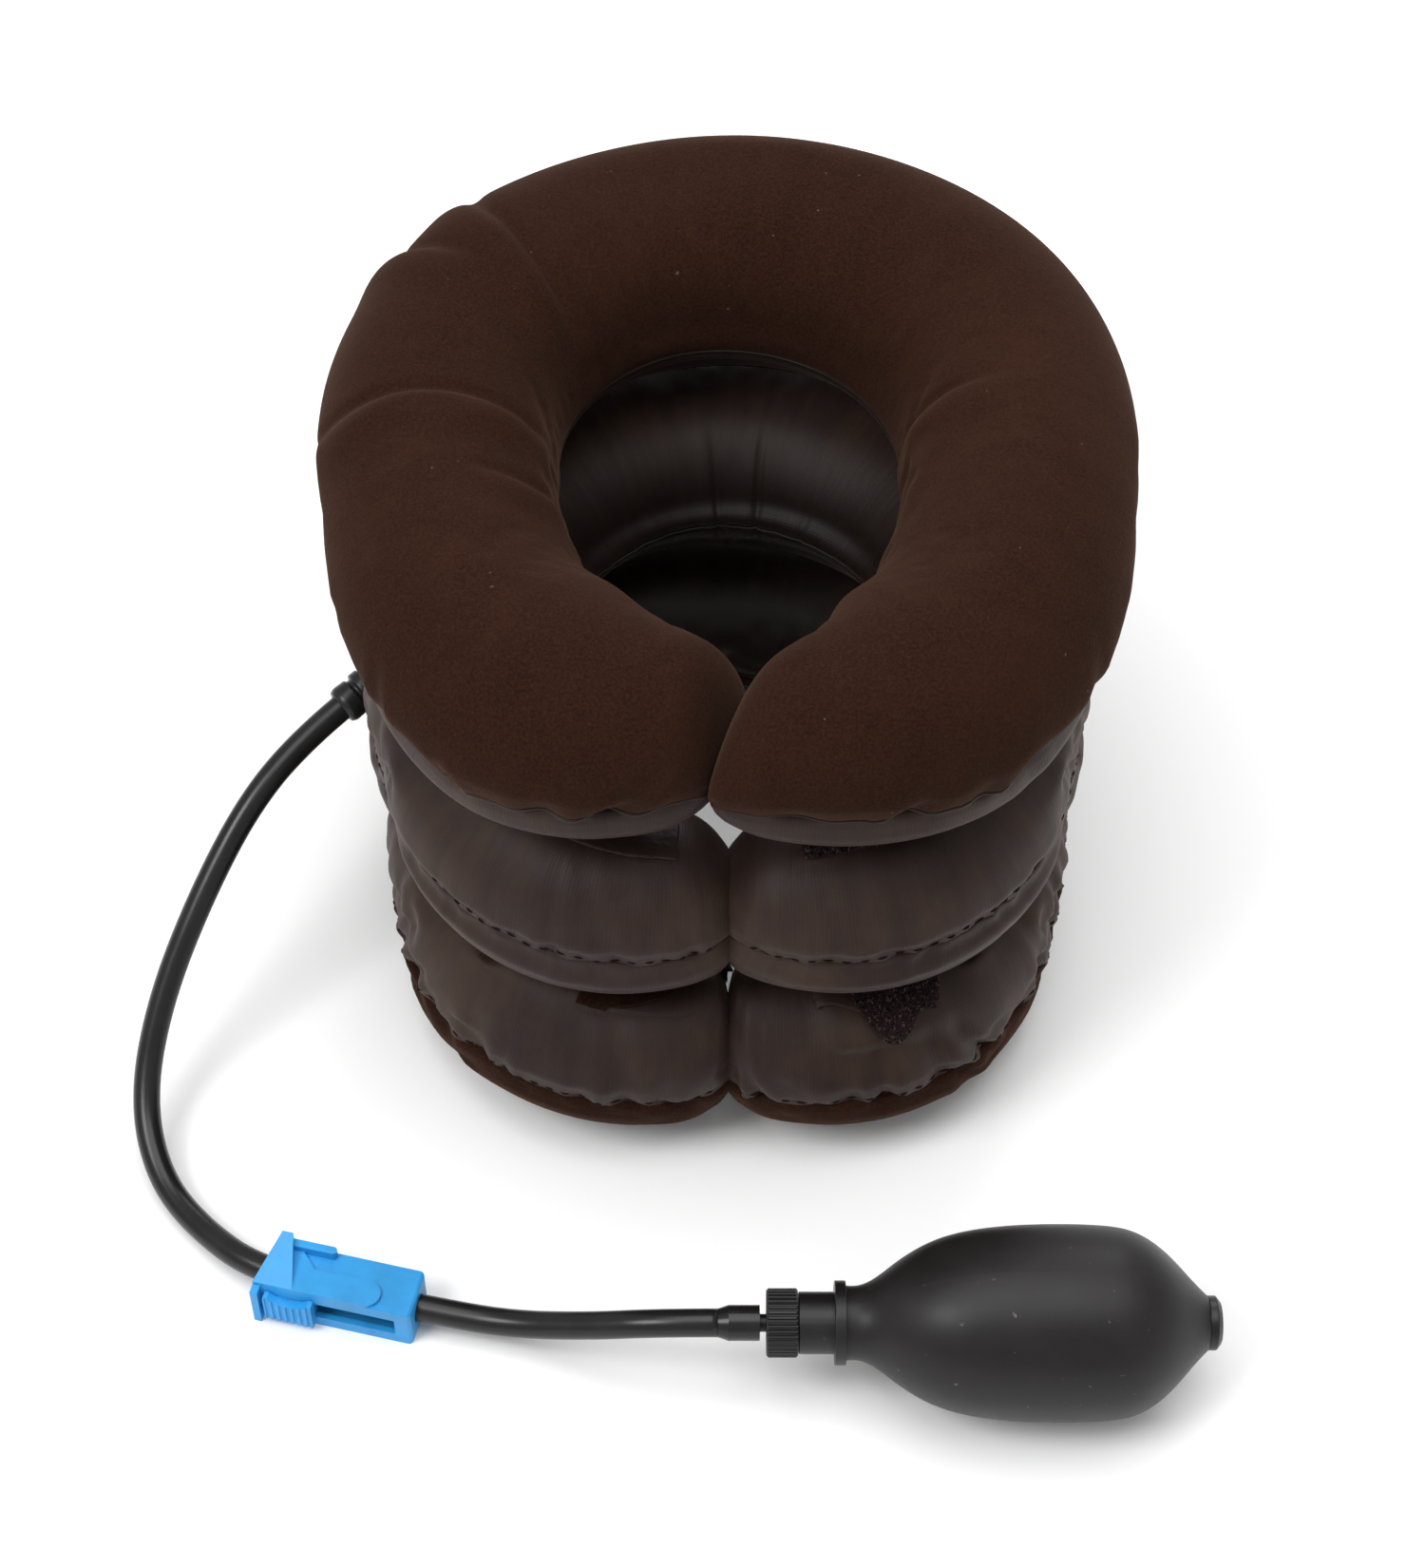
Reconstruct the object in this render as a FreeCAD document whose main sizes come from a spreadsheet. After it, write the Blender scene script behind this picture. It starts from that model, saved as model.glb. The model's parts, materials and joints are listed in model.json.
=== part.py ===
"""Inflatable three-tier neck collar with its hose, tube clamp and hand bulb.

Millimetres, +Z up. The origin is the centre of the neck opening on the plane the
collar stands on. The front closure faces -Y and the hose leaves on the -X side.
"""
import FreeCAD, Part
import math
import os
import Sketcher
from FreeCAD import Placement, Rotation, Vector

doc = FreeCAD.newDocument("NeckCollar")

# ---------------------------------------------------------------- driving sizes

SIZES = {
    # plan of a tier: back arc, long side arc, front corner arc, then a straight end
    "side_arc_radius": 260.0,
    "side_arc_turn": 14.0,
    "bottom_ring": 77.0,
    "bottom_corner": 60.0,
    "bottom_shift": 0.0,
    "middle_ring": 78.0,
    "middle_corner": 60.0,
    "middle_shift": 4.0,
    "top_ring": 82.5,
    "top_corner": 62.0,
    "top_shift": 12.0,
    # section of a tier: half width and half height, at the back and at the tip
    "bottom_half_width": 31.5,
    "bottom_half_height": 32.0,
    "middle_half_width": 32.5,
    "middle_half_height": 32.0,
    "top_half_width": 34.0,
    "top_half_height": 34.0,
    "tip_half_width": 19.0,
    "tip_half_height": 24.0,
    "tip_taper": 62.0,
    "tip_gap": 2.0,
    "foot_flat": 0.6,
    "tier_gap": 1.0,
    "top_seam_drop": 8.0,
    # fabric and bladder
    "cover_thickness": 1.5,
    "bladder_clearance": 0.4,
    "bladder_wall": 0.8,
    # join tape and air links between tiers
    "tape_thickness": 0.8,
    "tape_width": 10.0,
    "tape_shift_low": 2.0,
    "tape_shift_high": 8.0,
    "tape_ring_low": 77.5,
    "tape_ring_high": 80.0,
    "link_outer": 4.0,
    "link_bore": 2.5,
    "link_flange": 7.0,
    "link_flange_thickness": 0.8,
    "link_hole_clearance": 0.2,
    "link_angle": 135.0,
    "link_crown_low": 2.2,
    "link_crown_high": 3.8,
    # hook-and-loop closures
    "closure_patch_thickness": 0.9,
    "closure_strap_thickness": 0.8,
    "closure_clearance": 0.2,
    # air tube
    "tube_outer": 4.0,
    "tube_bore": 2.5,
    # inlet port on the middle tier
    "port_back": 19.0,
    "port_drop": 6.0,
    "port_hole": 6.2,
    "port_reach": 3.0,
    "port_straight": 17.4,
    "port_depth": 11.0,
    "port_flange": 9.0,
    "port_flange_thickness": 1.2,
    "ferrule_outer": 5.8,
    "ferrule_bore": 4.15,
    "ferrule_back": 2.0,
    "ferrule_front": 9.0,
    # tube clamp
    "clamp_x": -134.5,
    "clamp_y": -170.8,
    "clamp_yaw": -13.79,
    "clamp_length": 47.0,
    "clamp_width": 15.5,
    "clamp_height": 15.0,
    "clamp_bore_height": 8.0,
    "clamp_wall": 1.8,
    "clamp_edge": 1.4,
    "clamp_sink": 0.5,
    "cavity_start": 2.5,
    "cavity_floor": 2.0,
    "cavity_end": 3.0,
    "cavity_roof": 1.8,
    "mouth_rail": 1.4,
    "mouth_floor": 3.0,
    "mouth_height": 10.0,
    "outlet_clearance": 0.2,
    "window_start": 2.5,
    "window_end": 42.0,
    "window_low": 4.0,
    "window_high": 11.0,
    "clamp_slant": 4.5,
    "bar_end": 37.0,
    "bar_radius": 4.1,
    "bar_height": 1.2,
    "plateau_elbow": 16.0,
    "plateau_shoulder": 9.0,
    "rib_length": 21.0,
    "rib_width": 2.4,
    "rib_height": 3.2,
    "spur_length": 12.0,
    "spur_crest": 3.2,
    "spur_height": 6.2,
    "guard_width": 2.2,
    "guard_reach": 3.0,
    "slider_start": 3.5,
    "slider_length": 14.5,
    "slider_low": 2.2,
    "slider_high": 12.8,
    "slider_depth": 2.8,
    "slider_gap": 0.15,
    "slider_inset": 0.5,
    "web_clearance": 0.2,
    "jaw_thickness": 1.2,
    "jaw_floor": 3.0,
    "jaw_height": 9.2,
    "groove_count": 7,
    "groove_radius": 0.55,
    "scoop_radius": 8.0,
    "scoop_depth": 2.6,
    # pump, turned about a lengthwise axis
    "pump_y": -198.6,
    "pump_height": 27.5,
    "flare_start": -3.0,
    "flare_length": 11.7,
    "flare_cone": 3.0,
    "flare_radius": 5.0,
    "flare_bore": 3.1,
    "barb_radius": 3.0,
    "barb_inset": 0.5,
    "neck_radius": 2.5,
    "air_bore": 1.4,
    "nut_start": 10.5,
    "nut_length": 8.9,
    "nut_radius": 9.6,
    "nut_wall": 2.2,
    "nut_cavity": 7.1,
    "nut_bore": 2.6,
    "nut_chamfer": 0.6,
    "knurl_radius": 0.5,
    "knurl_count": 40,
    "nipple_flange": 6.9,
    "nipple_flange_thickness": 1.4,
    "washer_thickness": 1.0,
    "slip_thickness": 0.5,
    "stack_gap": 0.05,
    "spigot_radius": 7.0,
    "valve_start": 19.6,
    "valve_length": 10.0,
    "valve_radius": 8.65,
    "rim_radius": 11.75,
    "rim_thickness": 3.1,
    "tail_radius": 7.8,
    "tail_length": 11.0,
    "chamber_radius": 4.6,
    "chamber_depth": 2.0,
    "disc_radius": 4.4,
    "disc_thickness": 1.0,
    "disc_clearance": 0.2,
    "tail_chamfer": 1.0,
    "bulb_neck_radius": 10.4,
    "bulb_bore": 7.8,
    "bulb_radius": 27.4,
    "bulb_wall": 2.4,
    "bulb_end": 134.0,
    "intake_hole": 5.5,
    "intake_flange": 7.6,
    "intake_flange_thickness": 3.6,
    "intake_stem": 9.0,
    "intake_disc": 3.2,
    "intake_chamber": 3.4,
    "intake_slope_length": 1.4,
    "intake_slope_height": 1.8,
    "retainer_thickness": 1.2,
}

sheet = doc.addObject("Spreadsheet::Sheet", "Sizes")
for row, (alias, value) in enumerate(SIZES.items(), start=1):
    sheet.set(f"A{row}", alias)
    sheet.set(f"B{row}", str(value))
    sheet.setAlias(f"B{row}", alias)
doc.recompute()


class Size:
    """A length that knows its value and the spreadsheet expression behind it."""

    def __init__(self, value, text):
        self.value = float(value)
        self.text = text

    def combine(self, other, sign, value):
        return Size(value, f"({self.text} {sign} {as_size(other).text})")

    def __add__(self, other):
        return self.combine(other, "+", self.value + as_size(other).value)

    def __sub__(self, other):
        return self.combine(other, "-", self.value - as_size(other).value)

    def __mul__(self, other):
        return self.combine(other, "*", self.value * as_size(other).value)


def as_size(item):
    return item if isinstance(item, Size) else Size(item, repr(float(item)))


def size(alias):
    return Size(sheet.get(alias), f"Sizes.{alias}")


def mm(alias):
    return float(sheet.get(alias))


def bind(item, **lengths):
    """Tie each property to its expression."""
    for name, length in lengths.items():
        item.setExpression(name, as_size(length).text)


parts = []


def keep(item):
    """List a finished sub-part: its Label is its node's name."""
    parts.append(item)
    return item


def shape_part(label, shape):
    """A sub-part whose shape is worked out in code from the sheet's sizes."""
    item = doc.addObject("Part::Feature", label)
    item.Shape = shape
    item.Placement = Placement()
    return keep(item)


# ---------------------------------------------------------------- sketch helpers


def origin_plane(body, role):
    return next(plane for plane in body.Origin.OriginFeatures if plane.Role == role)


def plane_sketch(body, role, name):
    sketch = body.newObject("Sketcher::SketchObject", name)
    sketch.AttachmentSupport = (origin_plane(body, role), "")
    sketch.MapMode = "FlatFace"
    return sketch


def fix_point(sketch, line, x, y):
    """Hold the start of a line at a bound place."""
    for kind, axis, along in (("DistanceX", -2, x), ("DistanceY", -1, y)):
        if along.value == 0.0:
            sketch.addConstraint(Sketcher.Constraint("PointOnObject", line, 1, axis))
        else:
            index = sketch.addConstraint(Sketcher.Constraint(kind, -1, 1, line, 1, along.value))
            sketch.setExpression(f"Constraints[{index}]", along.text)


def closed_outline(sketch, corners):
    """A closed outline of straight lines with each corner bound to the sheet."""
    points = [(as_size(x), as_size(y)) for x, y in corners]
    count = len(points)
    for i, (x, y) in enumerate(points):
        x2, y2 = points[(i + 1) % count]
        start = Vector(x.value, y.value, 0)
        end = Vector(x2.value, y2.value, 0)
        sketch.addGeometry(Part.LineSegment(start, end), False)
    for i in range(count):
        sketch.addConstraint(Sketcher.Constraint("Coincident", i, 2, (i + 1) % count, 1))
    for i, (x, y) in enumerate(points):
        fix_point(sketch, i, x, y)


def turned(label, corners):
    """A body of revolution about X, placed on the pump's axis; corners are (x, radius)."""
    body = doc.addObject("PartDesign::Body", label)
    sketch = plane_sketch(body, "XZ_Plane", f"{label}_profile")
    closed_outline(sketch, corners)
    turn = body.newObject("PartDesign::Revolution", f"{label}_turn")
    turn.Profile = sketch
    turn.ReferenceAxis = (sketch, ["H_Axis"])
    turn.Angle = 360.0
    sketch.Visibility = False
    body.setExpression("Placement.Base.y", "Sizes.pump_y")
    body.setExpression("Placement.Base.z", "Sizes.pump_height")
    return keep(body)


# ---------------------------------------------------------------- tier geometry

BACK_STEPS = 4
SIDE_STEPS = 2
CORNER_STEPS = 4
SECTION_POINTS = 14


class Tier:
    """One inflatable ring: its plan line, its section and its height."""

    def __init__(self, name, centre_z):
        self.name = name
        self.ring = mm(f"{name}_ring")
        self.corner = mm(f"{name}_corner")
        self.shift = mm(f"{name}_shift")
        self.half_width = mm(f"{name}_half_width")
        self.half_height = mm(f"{name}_half_height")
        self.centre_z = centre_z
        self.side = mm("side_arc_radius")
        self.side_turn = math.radians(mm("side_arc_turn"))
        self.back_run = self.ring * math.pi / 2
        self.side_run = self.side * self.side_turn
        self.corner_run = self.corner * (math.pi / 2 - self.side_turn)
        spread = self.side - self.corner
        self.corner_x = self.ring - self.side + spread * math.cos(self.side_turn)
        self.corner_y = -spread * math.sin(self.side_turn)
        self.length = self.back_run + self.side_run + self.corner_run + self.corner_x

    def plan(self, travel):
        """Centre point and outward direction of the right half, measured from the back."""
        if travel <= self.back_run:
            angle = math.pi / 2 - travel / self.ring
            centre = Vector(0, self.shift, 0)
            radius = self.ring
        elif travel <= self.back_run + self.side_run:
            angle = -(travel - self.back_run) / self.side
            centre = Vector(self.ring - self.side, self.shift, 0)
            radius = self.side
        elif travel <= self.back_run + self.side_run + self.corner_run:
            angle = -self.side_turn - (travel - self.back_run - self.side_run) / self.corner
            centre = Vector(self.corner_x, self.corner_y + self.shift, 0)
            radius = self.corner
        else:
            run = travel - self.back_run - self.side_run - self.corner_run
            centre_y = self.corner_y + self.shift - self.corner
            return Vector(self.corner_x - run, centre_y, 0), Vector(0, -1, 0)
        outward = Vector(math.cos(angle), math.sin(angle), 0)
        return centre + outward * radius, outward

    def half_sizes(self, to_tip, offset):
        """Half width and half height of the section at a distance from the tip."""
        ease = math.sin(min(to_tip / mm("tip_taper"), 1.0) * math.pi / 2)
        tip_width, tip_height = mm("tip_half_width"), mm("tip_half_height")
        width = tip_width + (self.half_width - tip_width) * ease
        height = tip_height + (self.half_height - tip_height) * ease
        return width + offset, height + offset

    def surface(self, travel, angle, offset=0.0, mirror=1):
        """A point of the tier's skin; angle 0 points outward and 90 degrees up."""
        centre, outward = self.plan(travel)
        width, height = self.half_sizes(self.length - travel, offset)
        point = centre + outward * (width * math.cos(angle))
        point.z = self.centre_z + height * math.sin(angle)
        point.x *= mirror
        return point

    def section(self, travel, offset, mirror):
        angles = [2 * math.pi * i / SECTION_POINTS for i in range(SECTION_POINTS)]
        points = [self.surface(travel, angle, offset, mirror) for angle in angles]
        curve = Part.BSplineCurve()
        curve.interpolate(Points=points, PeriodicFlag=True)
        return Part.Wire(curve.toShape())

    def stations(self, end_gap):
        """Distances from the back at which the section is drawn, ending at the tip."""
        runs = [self.back_run * i / BACK_STEPS for i in range(BACK_STEPS + 1)]
        start = self.back_run
        runs += [start + self.side_run * i / SIDE_STEPS for i in range(1, SIDE_STEPS + 1)]
        start += self.side_run
        runs += [start + self.corner_run * i / CORNER_STEPS for i in range(1, CORNER_STEPS + 1)]
        tip = self.length - end_gap
        runs.append((runs[-1] + tip) / 2)
        runs.append(tip)
        return runs

    def hull(self, inset):
        """The closed ring-shaped tube, its whole skin moved inward by inset."""
        runs = self.stations(mm("tip_gap") + inset)
        left = [self.section(run, -inset, -1) for run in reversed(runs[1:])]
        right = [self.section(run, -inset, 1) for run in runs]
        return Part.makeLoft(left + right, True, False)


BEYOND = 200.0
THROUGH = 20.0


def slab(low, high):
    """A block wider than any tier, between two heights."""
    return Part.makeBox(2 * BEYOND, 2 * BEYOND, high - low, Vector(-BEYOND, -BEYOND, low))


def rod(point, direction, radius, back, front):
    """A round bar along a direction, from back behind the point to front beyond it."""
    start = point - direction * back
    return Part.makeCylinder(radius, back + front, start, direction)


bottom_z = mm("bottom_half_height") - mm("foot_flat")
middle_z = bottom_z + mm("bottom_half_height") + mm("tier_gap") + mm("middle_half_height")
top_z = middle_z + mm("middle_half_height") + mm("tier_gap") + mm("top_half_height")
bottom = Tier("bottom", bottom_z)
middle = Tier("middle", middle_z)
top = Tier("top", top_z)

# the inlet port leaves the middle tier's left side, below its equator
PORT_DIRECTION = Vector(-0.76, -0.58, -0.28).normalize()
port_travel = middle.back_run + mm("port_back")
port_angle = -math.asin(mm("port_drop") / mm("middle_half_height"))
port_point = middle.surface(port_travel, port_angle, 0.0, -1)


def link_place(tier):
    angle = math.radians(mm("link_angle"))
    return Vector(tier.ring * math.cos(angle), tier.shift + tier.ring * math.sin(angle), 0)


link_low = (link_place(bottom) + link_place(middle)) * 0.5
link_high = (link_place(middle) + link_place(top)) * 0.5
hole_radius = mm("link_outer") + mm("link_hole_clearance")
below_top = Vector(link_high.x, link_high.y, middle.centre_z)
below_middle = Vector(link_low.x, link_low.y, bottom.centre_z)
high_hole = Part.makeCylinder(hole_radius, top.centre_z - middle.centre_z, below_top)
low_hole = Part.makeCylinder(hole_radius, middle.centre_z - bottom.centre_z, below_middle)
port_hole = rod(port_point, PORT_DIRECTION, mm("port_hole"), THROUGH, THROUGH)


def build_tier(tier, seam_z, names, holes):
    """Two fabric panels that meet at the seam, and the air bladder inside them."""
    upper_name, lower_name, bladder_name = names
    thickness = mm("cover_thickness")
    skin = tier.hull(0.0).cut(tier.hull(thickness))
    upper = skin.common(slab(seam_z, seam_z + BEYOND))
    lower = skin.common(slab(0.0, seam_z))
    inset = thickness + mm("bladder_clearance")
    bladder = tier.hull(inset).cut(tier.hull(inset + mm("bladder_wall")))
    for hole in holes:
        upper = upper.cut(hole)
        lower = lower.cut(hole)
        bladder = bladder.cut(hole)
    shape_part(upper_name, upper.Solids[0])
    shape_part(lower_name, lower.Solids[0])
    shape_part(bladder_name, bladder.Solids[0])


build_tier(
    bottom,
    bottom_z,
    ("bottom_cover_nylon", "bottom_cover_velour", "bottom_bladder"),
    [low_hole],
)
build_tier(
    middle,
    middle_z,
    ("middle_cover_upper", "middle_cover_lower", "middle_bladder"),
    [low_hole, high_hole, port_hole],
)
build_tier(
    top,
    top_z - mm("top_seam_drop"),
    ("top_cover_velour", "top_cover_nylon", "top_bladder"),
    [high_hole],
)

# ---------------------------------------------------------------- join tapes


def join_tape(label, ring, shift, height, link):
    """A flat C-shaped tape between two tiers, with a hole for the air link."""
    body = doc.addObject("PartDesign::Body", label)
    sketch = plane_sketch(body, "XY_Plane", f"{label}_outline")
    inner = size(ring) - size("tape_width") * 0.5
    outer = size(ring) + size("tape_width") * 0.5
    start, end = math.radians(-40.0), math.radians(220.0)
    for radius in (inner, outer):
        circle = Part.Circle(Vector(0, 0, 0), Vector(0, 0, 1), radius.value)
        sketch.addGeometry(Part.ArcOfCircle(circle, start, end), False)
    for angle in (start, end):
        near = Vector(inner.value * math.cos(angle), inner.value * math.sin(angle), 0)
        far = Vector(outer.value * math.cos(angle), outer.value * math.sin(angle), 0)
        sketch.addGeometry(Part.LineSegment(near, far), False)
    for arc, radius in ((0, inner), (1, outer)):
        sketch.addConstraint(Sketcher.Constraint("Coincident", arc, 3, -1, 1))
        index = sketch.addConstraint(Sketcher.Constraint("Radius", arc, radius.value))
        sketch.setExpression(f"Constraints[{index}]", radius.text)
        sketch.addConstraint(Sketcher.Constraint("Coincident", arc, 1, 2, 1 + arc))
        sketch.addConstraint(Sketcher.Constraint("Coincident", arc, 2, 3, 1 + arc))
    pad = body.newObject("PartDesign::Pad", f"{label}_pad")
    pad.Profile = sketch
    pad.setExpression("Length", "Sizes.tape_thickness")
    hole_sketch = plane_sketch(body, "XY_Plane", f"{label}_hole_outline")
    circle = Part.Circle(Vector(link.x, link.y - mm(shift), 0), Vector(0, 0, 1), hole_radius)
    hole_sketch.addGeometry(circle, False)
    pocket = body.newObject("PartDesign::Pocket", f"{label}_hole")
    pocket.Profile = hole_sketch
    pocket.Type = 1
    pocket.Midplane = True
    body.setExpression("Placement.Base.y", f"Sizes.{shift}")
    body.Placement.Base.z = height
    return keep(body)


tape_lift = (mm("tier_gap") - mm("tape_thickness")) / 2
low_gap_z = bottom_z + mm("bottom_half_height") + tape_lift
high_gap_z = middle_z + mm("middle_half_height") + tape_lift
join_tape("join_tape_lower", "tape_ring_low", "tape_shift_low", low_gap_z, link_low)
join_tape("join_tape_upper", "tape_ring_high", "tape_shift_high", high_gap_z, link_high)

# ---------------------------------------------------------------- air links


def air_link(label, place, gap_z, crown):
    """A short flanged tube that carries air from one bladder to the next. Its flanges
    stand clear of the bladders' curved walls by crown."""
    body = doc.addObject("PartDesign::Body", label)
    sketch = plane_sketch(body, "XZ_Plane", f"{label}_profile")
    clear = mm("cover_thickness") + mm("bladder_clearance") + mm("bladder_wall")
    rise = mm("tier_gap") + 2 * (clear + crown)
    flange = size("link_flange_thickness")
    bore, outer, rim = size("link_bore"), size("link_outer"), size("link_flange")
    low, high = as_size(0.0), as_size(rise) + flange * 2.0
    corners = [
        (bore, low),
        (rim, low),
        (rim, flange),
        (outer, flange),
        (outer, flange + rise),
        (rim, flange + rise),
        (rim, high),
        (bore, high),
    ]
    closed_outline(sketch, corners)
    turn = body.newObject("PartDesign::Revolution", f"{label}_turn")
    turn.Profile = sketch
    turn.ReferenceAxis = (sketch, ["V_Axis"])
    turn.Angle = 360.0
    base = gap_z - clear - crown - flange.value
    body.Placement = Placement(Vector(place.x, place.y, base), Rotation())
    return keep(body)


low_gap = bottom_z + mm("bottom_half_height")
high_gap = middle_z + mm("middle_half_height")
air_link("air_link_lower", link_low, low_gap, mm("link_crown_low"))
air_link("air_link_upper", link_high, high_gap, mm("link_crown_high"))

# ---------------------------------------------------------------- closures

BRIDGE_REACH = 34.0


def closure_piece(tier, stations, offset, thickness, bridging):
    """A thin piece lying over the front of a tier. Each station is a distance from the
    tip, negative on the left arm, and the lowest and highest angle above the equator.
    A bridging piece keeps the arms' fuller section where it crosses the split."""
    wires = []
    for reach, low, high in stations:
        side = 1 if reach >= 0 else -1
        centre, outward = tier.plan(tier.length - abs(reach))
        section_at = max(abs(reach), BRIDGE_REACH) if bridging else abs(reach)
        rims = []
        for rise in (offset, offset + thickness):
            width, height = tier.half_sizes(section_at, rise)
            points = []
            for i in range(4):
                angle = math.radians(low + (high - low) * i / 3)
                point = centre + outward * (width * math.cos(angle))
                point.z = tier.centre_z + height * math.sin(angle)
                point.x *= side
                points.append(point)
            curve = Part.BSplineCurve()
            curve.interpolate(points)
            rims.append((points, curve.toShape()))
        (lower, lower_edge), (upper, upper_edge) = rims
        start = Part.makeLine(lower[0], upper[0])
        end = Part.makeLine(lower[-1], upper[-1])
        wires.append(Part.Wire([lower_edge, end, upper_edge, start]))
    return Part.makeLoft(wires, True, False)


STRAP = [
    (-16.0, 84.0, 116.0),
    (-4.0, 104.0, 140.0),
    (8.0, 112.0, 142.0),
    (19.0, 106.0, 134.0),
    (29.0, 88.0, 118.0),
    (34.0, 66.0, 104.0),
    (39.0, 43.0, 96.0),
    (44.0, 49.0, 84.0),
    (49.0, 55.5, 75.0),
    (55.0, 63.0, 68.0),
]
ANCHOR = [(-40.0, 67.0, 84.0), (-32.0, 70.0, 96.0), (-20.0, 79.0, 112.0), (-8.0, 96.0, 128.0)]
LOOP = [(24.0, 74.0, 100.0), (36.0, 62.0, 92.0), (42.0, 54.0, 84.0), (48.0, 62.0, 74.0)]
UPPER_LOOP = [(20.0, 76.0, 106.0), (36.0, 74.0, 98.0), (44.0, 73.0, 88.0), (51.0, 73.0, 79.0)]
UPPER_TAB = [
    (-14.0, 78.0, 106.0),
    (-22.0, 76.5, 103.0),
    (-30.0, 75.0, 100.0),
    (-37.0, 74.5, 93.0),
    (-44.0, 74.0, 86.0),
]

clear = mm("closure_clearance")
patch = mm("closure_patch_thickness")
strap = mm("closure_strap_thickness")
over = 3 * clear + patch
shape_part("lower_closure_anchor", closure_piece(bottom, ANCHOR, clear, patch, True))
shape_part("lower_closure_loop", closure_piece(bottom, LOOP, clear, patch, False))
shape_part("lower_closure_strap", closure_piece(bottom, STRAP, over, strap, True))
shape_part("upper_closure_loop", closure_piece(middle, UPPER_LOOP, clear, patch, False))
shape_part("upper_closure_tab", closure_piece(middle, UPPER_TAB, clear, patch, False))

# ---------------------------------------------------------------- air tube


def rounded_route(points):
    """Straight runs joined by tangent arcs as large as their runs allow."""
    edges = []
    last = points[0]
    for before, corner, after in zip(points, points[1:], points[2:]):
        run_in = corner - before
        run_out = after - corner
        turn = run_in.getAngle(run_out)
        cut = 0.45 * min(run_in.Length, run_out.Length)
        print("route arc radius", round(cut / math.tan(turn / 2), 1))
        start = corner - run_in.normalize() * cut
        end = corner + run_out.normalize() * cut
        inward = (start + end) * 0.5 - corner
        radius = cut / math.tan(turn / 2)
        centre = corner + inward.normalize() * (radius / math.cos(turn / 2))
        middle_point = centre + (corner - centre).normalize() * radius
        edges.append(Part.LineSegment(last, start).toShape())
        edges.append(Part.Arc(start, middle_point, end).toShape())
        last = end
    edges.append(Part.LineSegment(last, points[-1]).toShape())
    return Part.Wire(edges)


def swept_round(wire, direction, radius):
    circle = Part.Circle(wire.Vertexes[0].Point, direction, radius)
    return wire.makePipeShell([Part.Wire(circle.toShape())], True, False)


pump_y, pump_z = mm("pump_y"), mm("pump_height")
clamp_z = mm("clamp_bore_height")
tube_start = port_point + PORT_DIRECTION * mm("port_reach")
tube_end = Vector(mm("flare_start"), pump_y, pump_z)
TUBE_ROUTE = [
    tube_start,
    tube_start + PORT_DIRECTION * mm("port_straight"),
    Vector(-141.5, -47.0, 75.5),
    Vector(-156.5, -69.0, 57.5),
    Vector(-169.5, -92.0, 35.0),
    Vector(-175.0, -113.5, 15.5),
    Vector(-169.5, -135.0, 6.0),
    Vector(-156.0, -152.5, 4.3),
    Vector(mm("clamp_x"), mm("clamp_y"), clamp_z),
    Vector(-84.0, -183.2, clamp_z),
    Vector(-62.0, -188.0, 8.8),
    Vector(-40.0, -194.0, 18.0),
    Vector(-19.0, pump_y, pump_z),
    tube_end,
]
tube_wire = rounded_route(TUBE_ROUTE)
tube_heading = TUBE_ROUTE[1] - TUBE_ROUTE[0]
tube_outside = swept_round(tube_wire, tube_heading, mm("tube_outer"))
tube_inside = swept_round(tube_wire, tube_heading, mm("tube_bore"))
tube_shape = tube_outside.cut(tube_inside)
tube_section = math.pi * (mm("tube_outer") ** 2 - mm("tube_bore") ** 2)
print("tube length", round(tube_wire.Length, 1))
print("tube volume ratio", round(tube_shape.Volume / (tube_section * tube_wire.Length), 4))
shape_part("air_tube", tube_shape.Solids[0])

# ---------------------------------------------------------------- inlet port

port_tube = rod(port_point, PORT_DIRECTION, mm("tube_outer"), mm("port_depth"), mm("port_reach"))
port_disc = rod(
    port_point,
    PORT_DIRECTION,
    mm("port_flange"),
    mm("port_depth") + mm("port_flange_thickness"),
    -mm("port_depth"),
)
port_way = rod(port_point, PORT_DIRECTION, mm("tube_bore"), THROUGH, THROUGH)
shape_part("inlet_port", port_tube.fuse(port_disc).cut(port_way).removeSplitter())

ferrule = rod(
    port_point,
    PORT_DIRECTION,
    mm("ferrule_outer"),
    mm("ferrule_back"),
    mm("ferrule_front"),
)
ferrule_way = rod(port_point, PORT_DIRECTION, mm("ferrule_bore"), THROUGH, THROUGH)
shape_part("inlet_ferrule", ferrule.cut(ferrule_way))

# ---------------------------------------------------------------- tube clamp


def box(name, place, lengths):
    """A bound box in the clamp's own frame."""
    item = doc.addObject("Part::Box", name)
    for prop, length in zip(("Length", "Width", "Height"), lengths):
        bind(item, **{prop: length})
    for axis, length in zip("xyz", place):
        item.setExpression(f"Placement.Base.{axis}", as_size(length).text)
    return item


def lying_cylinder(name, place, radius, length):
    """A bound cylinder along the clamp's length."""
    item = doc.addObject("Part::Cylinder", name)
    item.Placement.Rotation = Rotation(Vector(0, 1, 0), 90)
    bind(item, Radius=radius, Height=length)
    for axis, distance in zip("xyz", place):
        item.setExpression(f"Placement.Base.{axis}", as_size(distance).text)
    return item


def standing_cylinder(name, place, radius, height):
    item = doc.addObject("Part::Cylinder", name)
    bind(item, Radius=radius, Height=height)
    for axis, distance in zip("xyz", place):
        item.setExpression(f"Placement.Base.{axis}", as_size(distance).text)
    return item


def joined(name, items):
    item = doc.addObject("Part::MultiFuse", name)
    item.Shapes = items
    item.Refine = True
    return item


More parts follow.
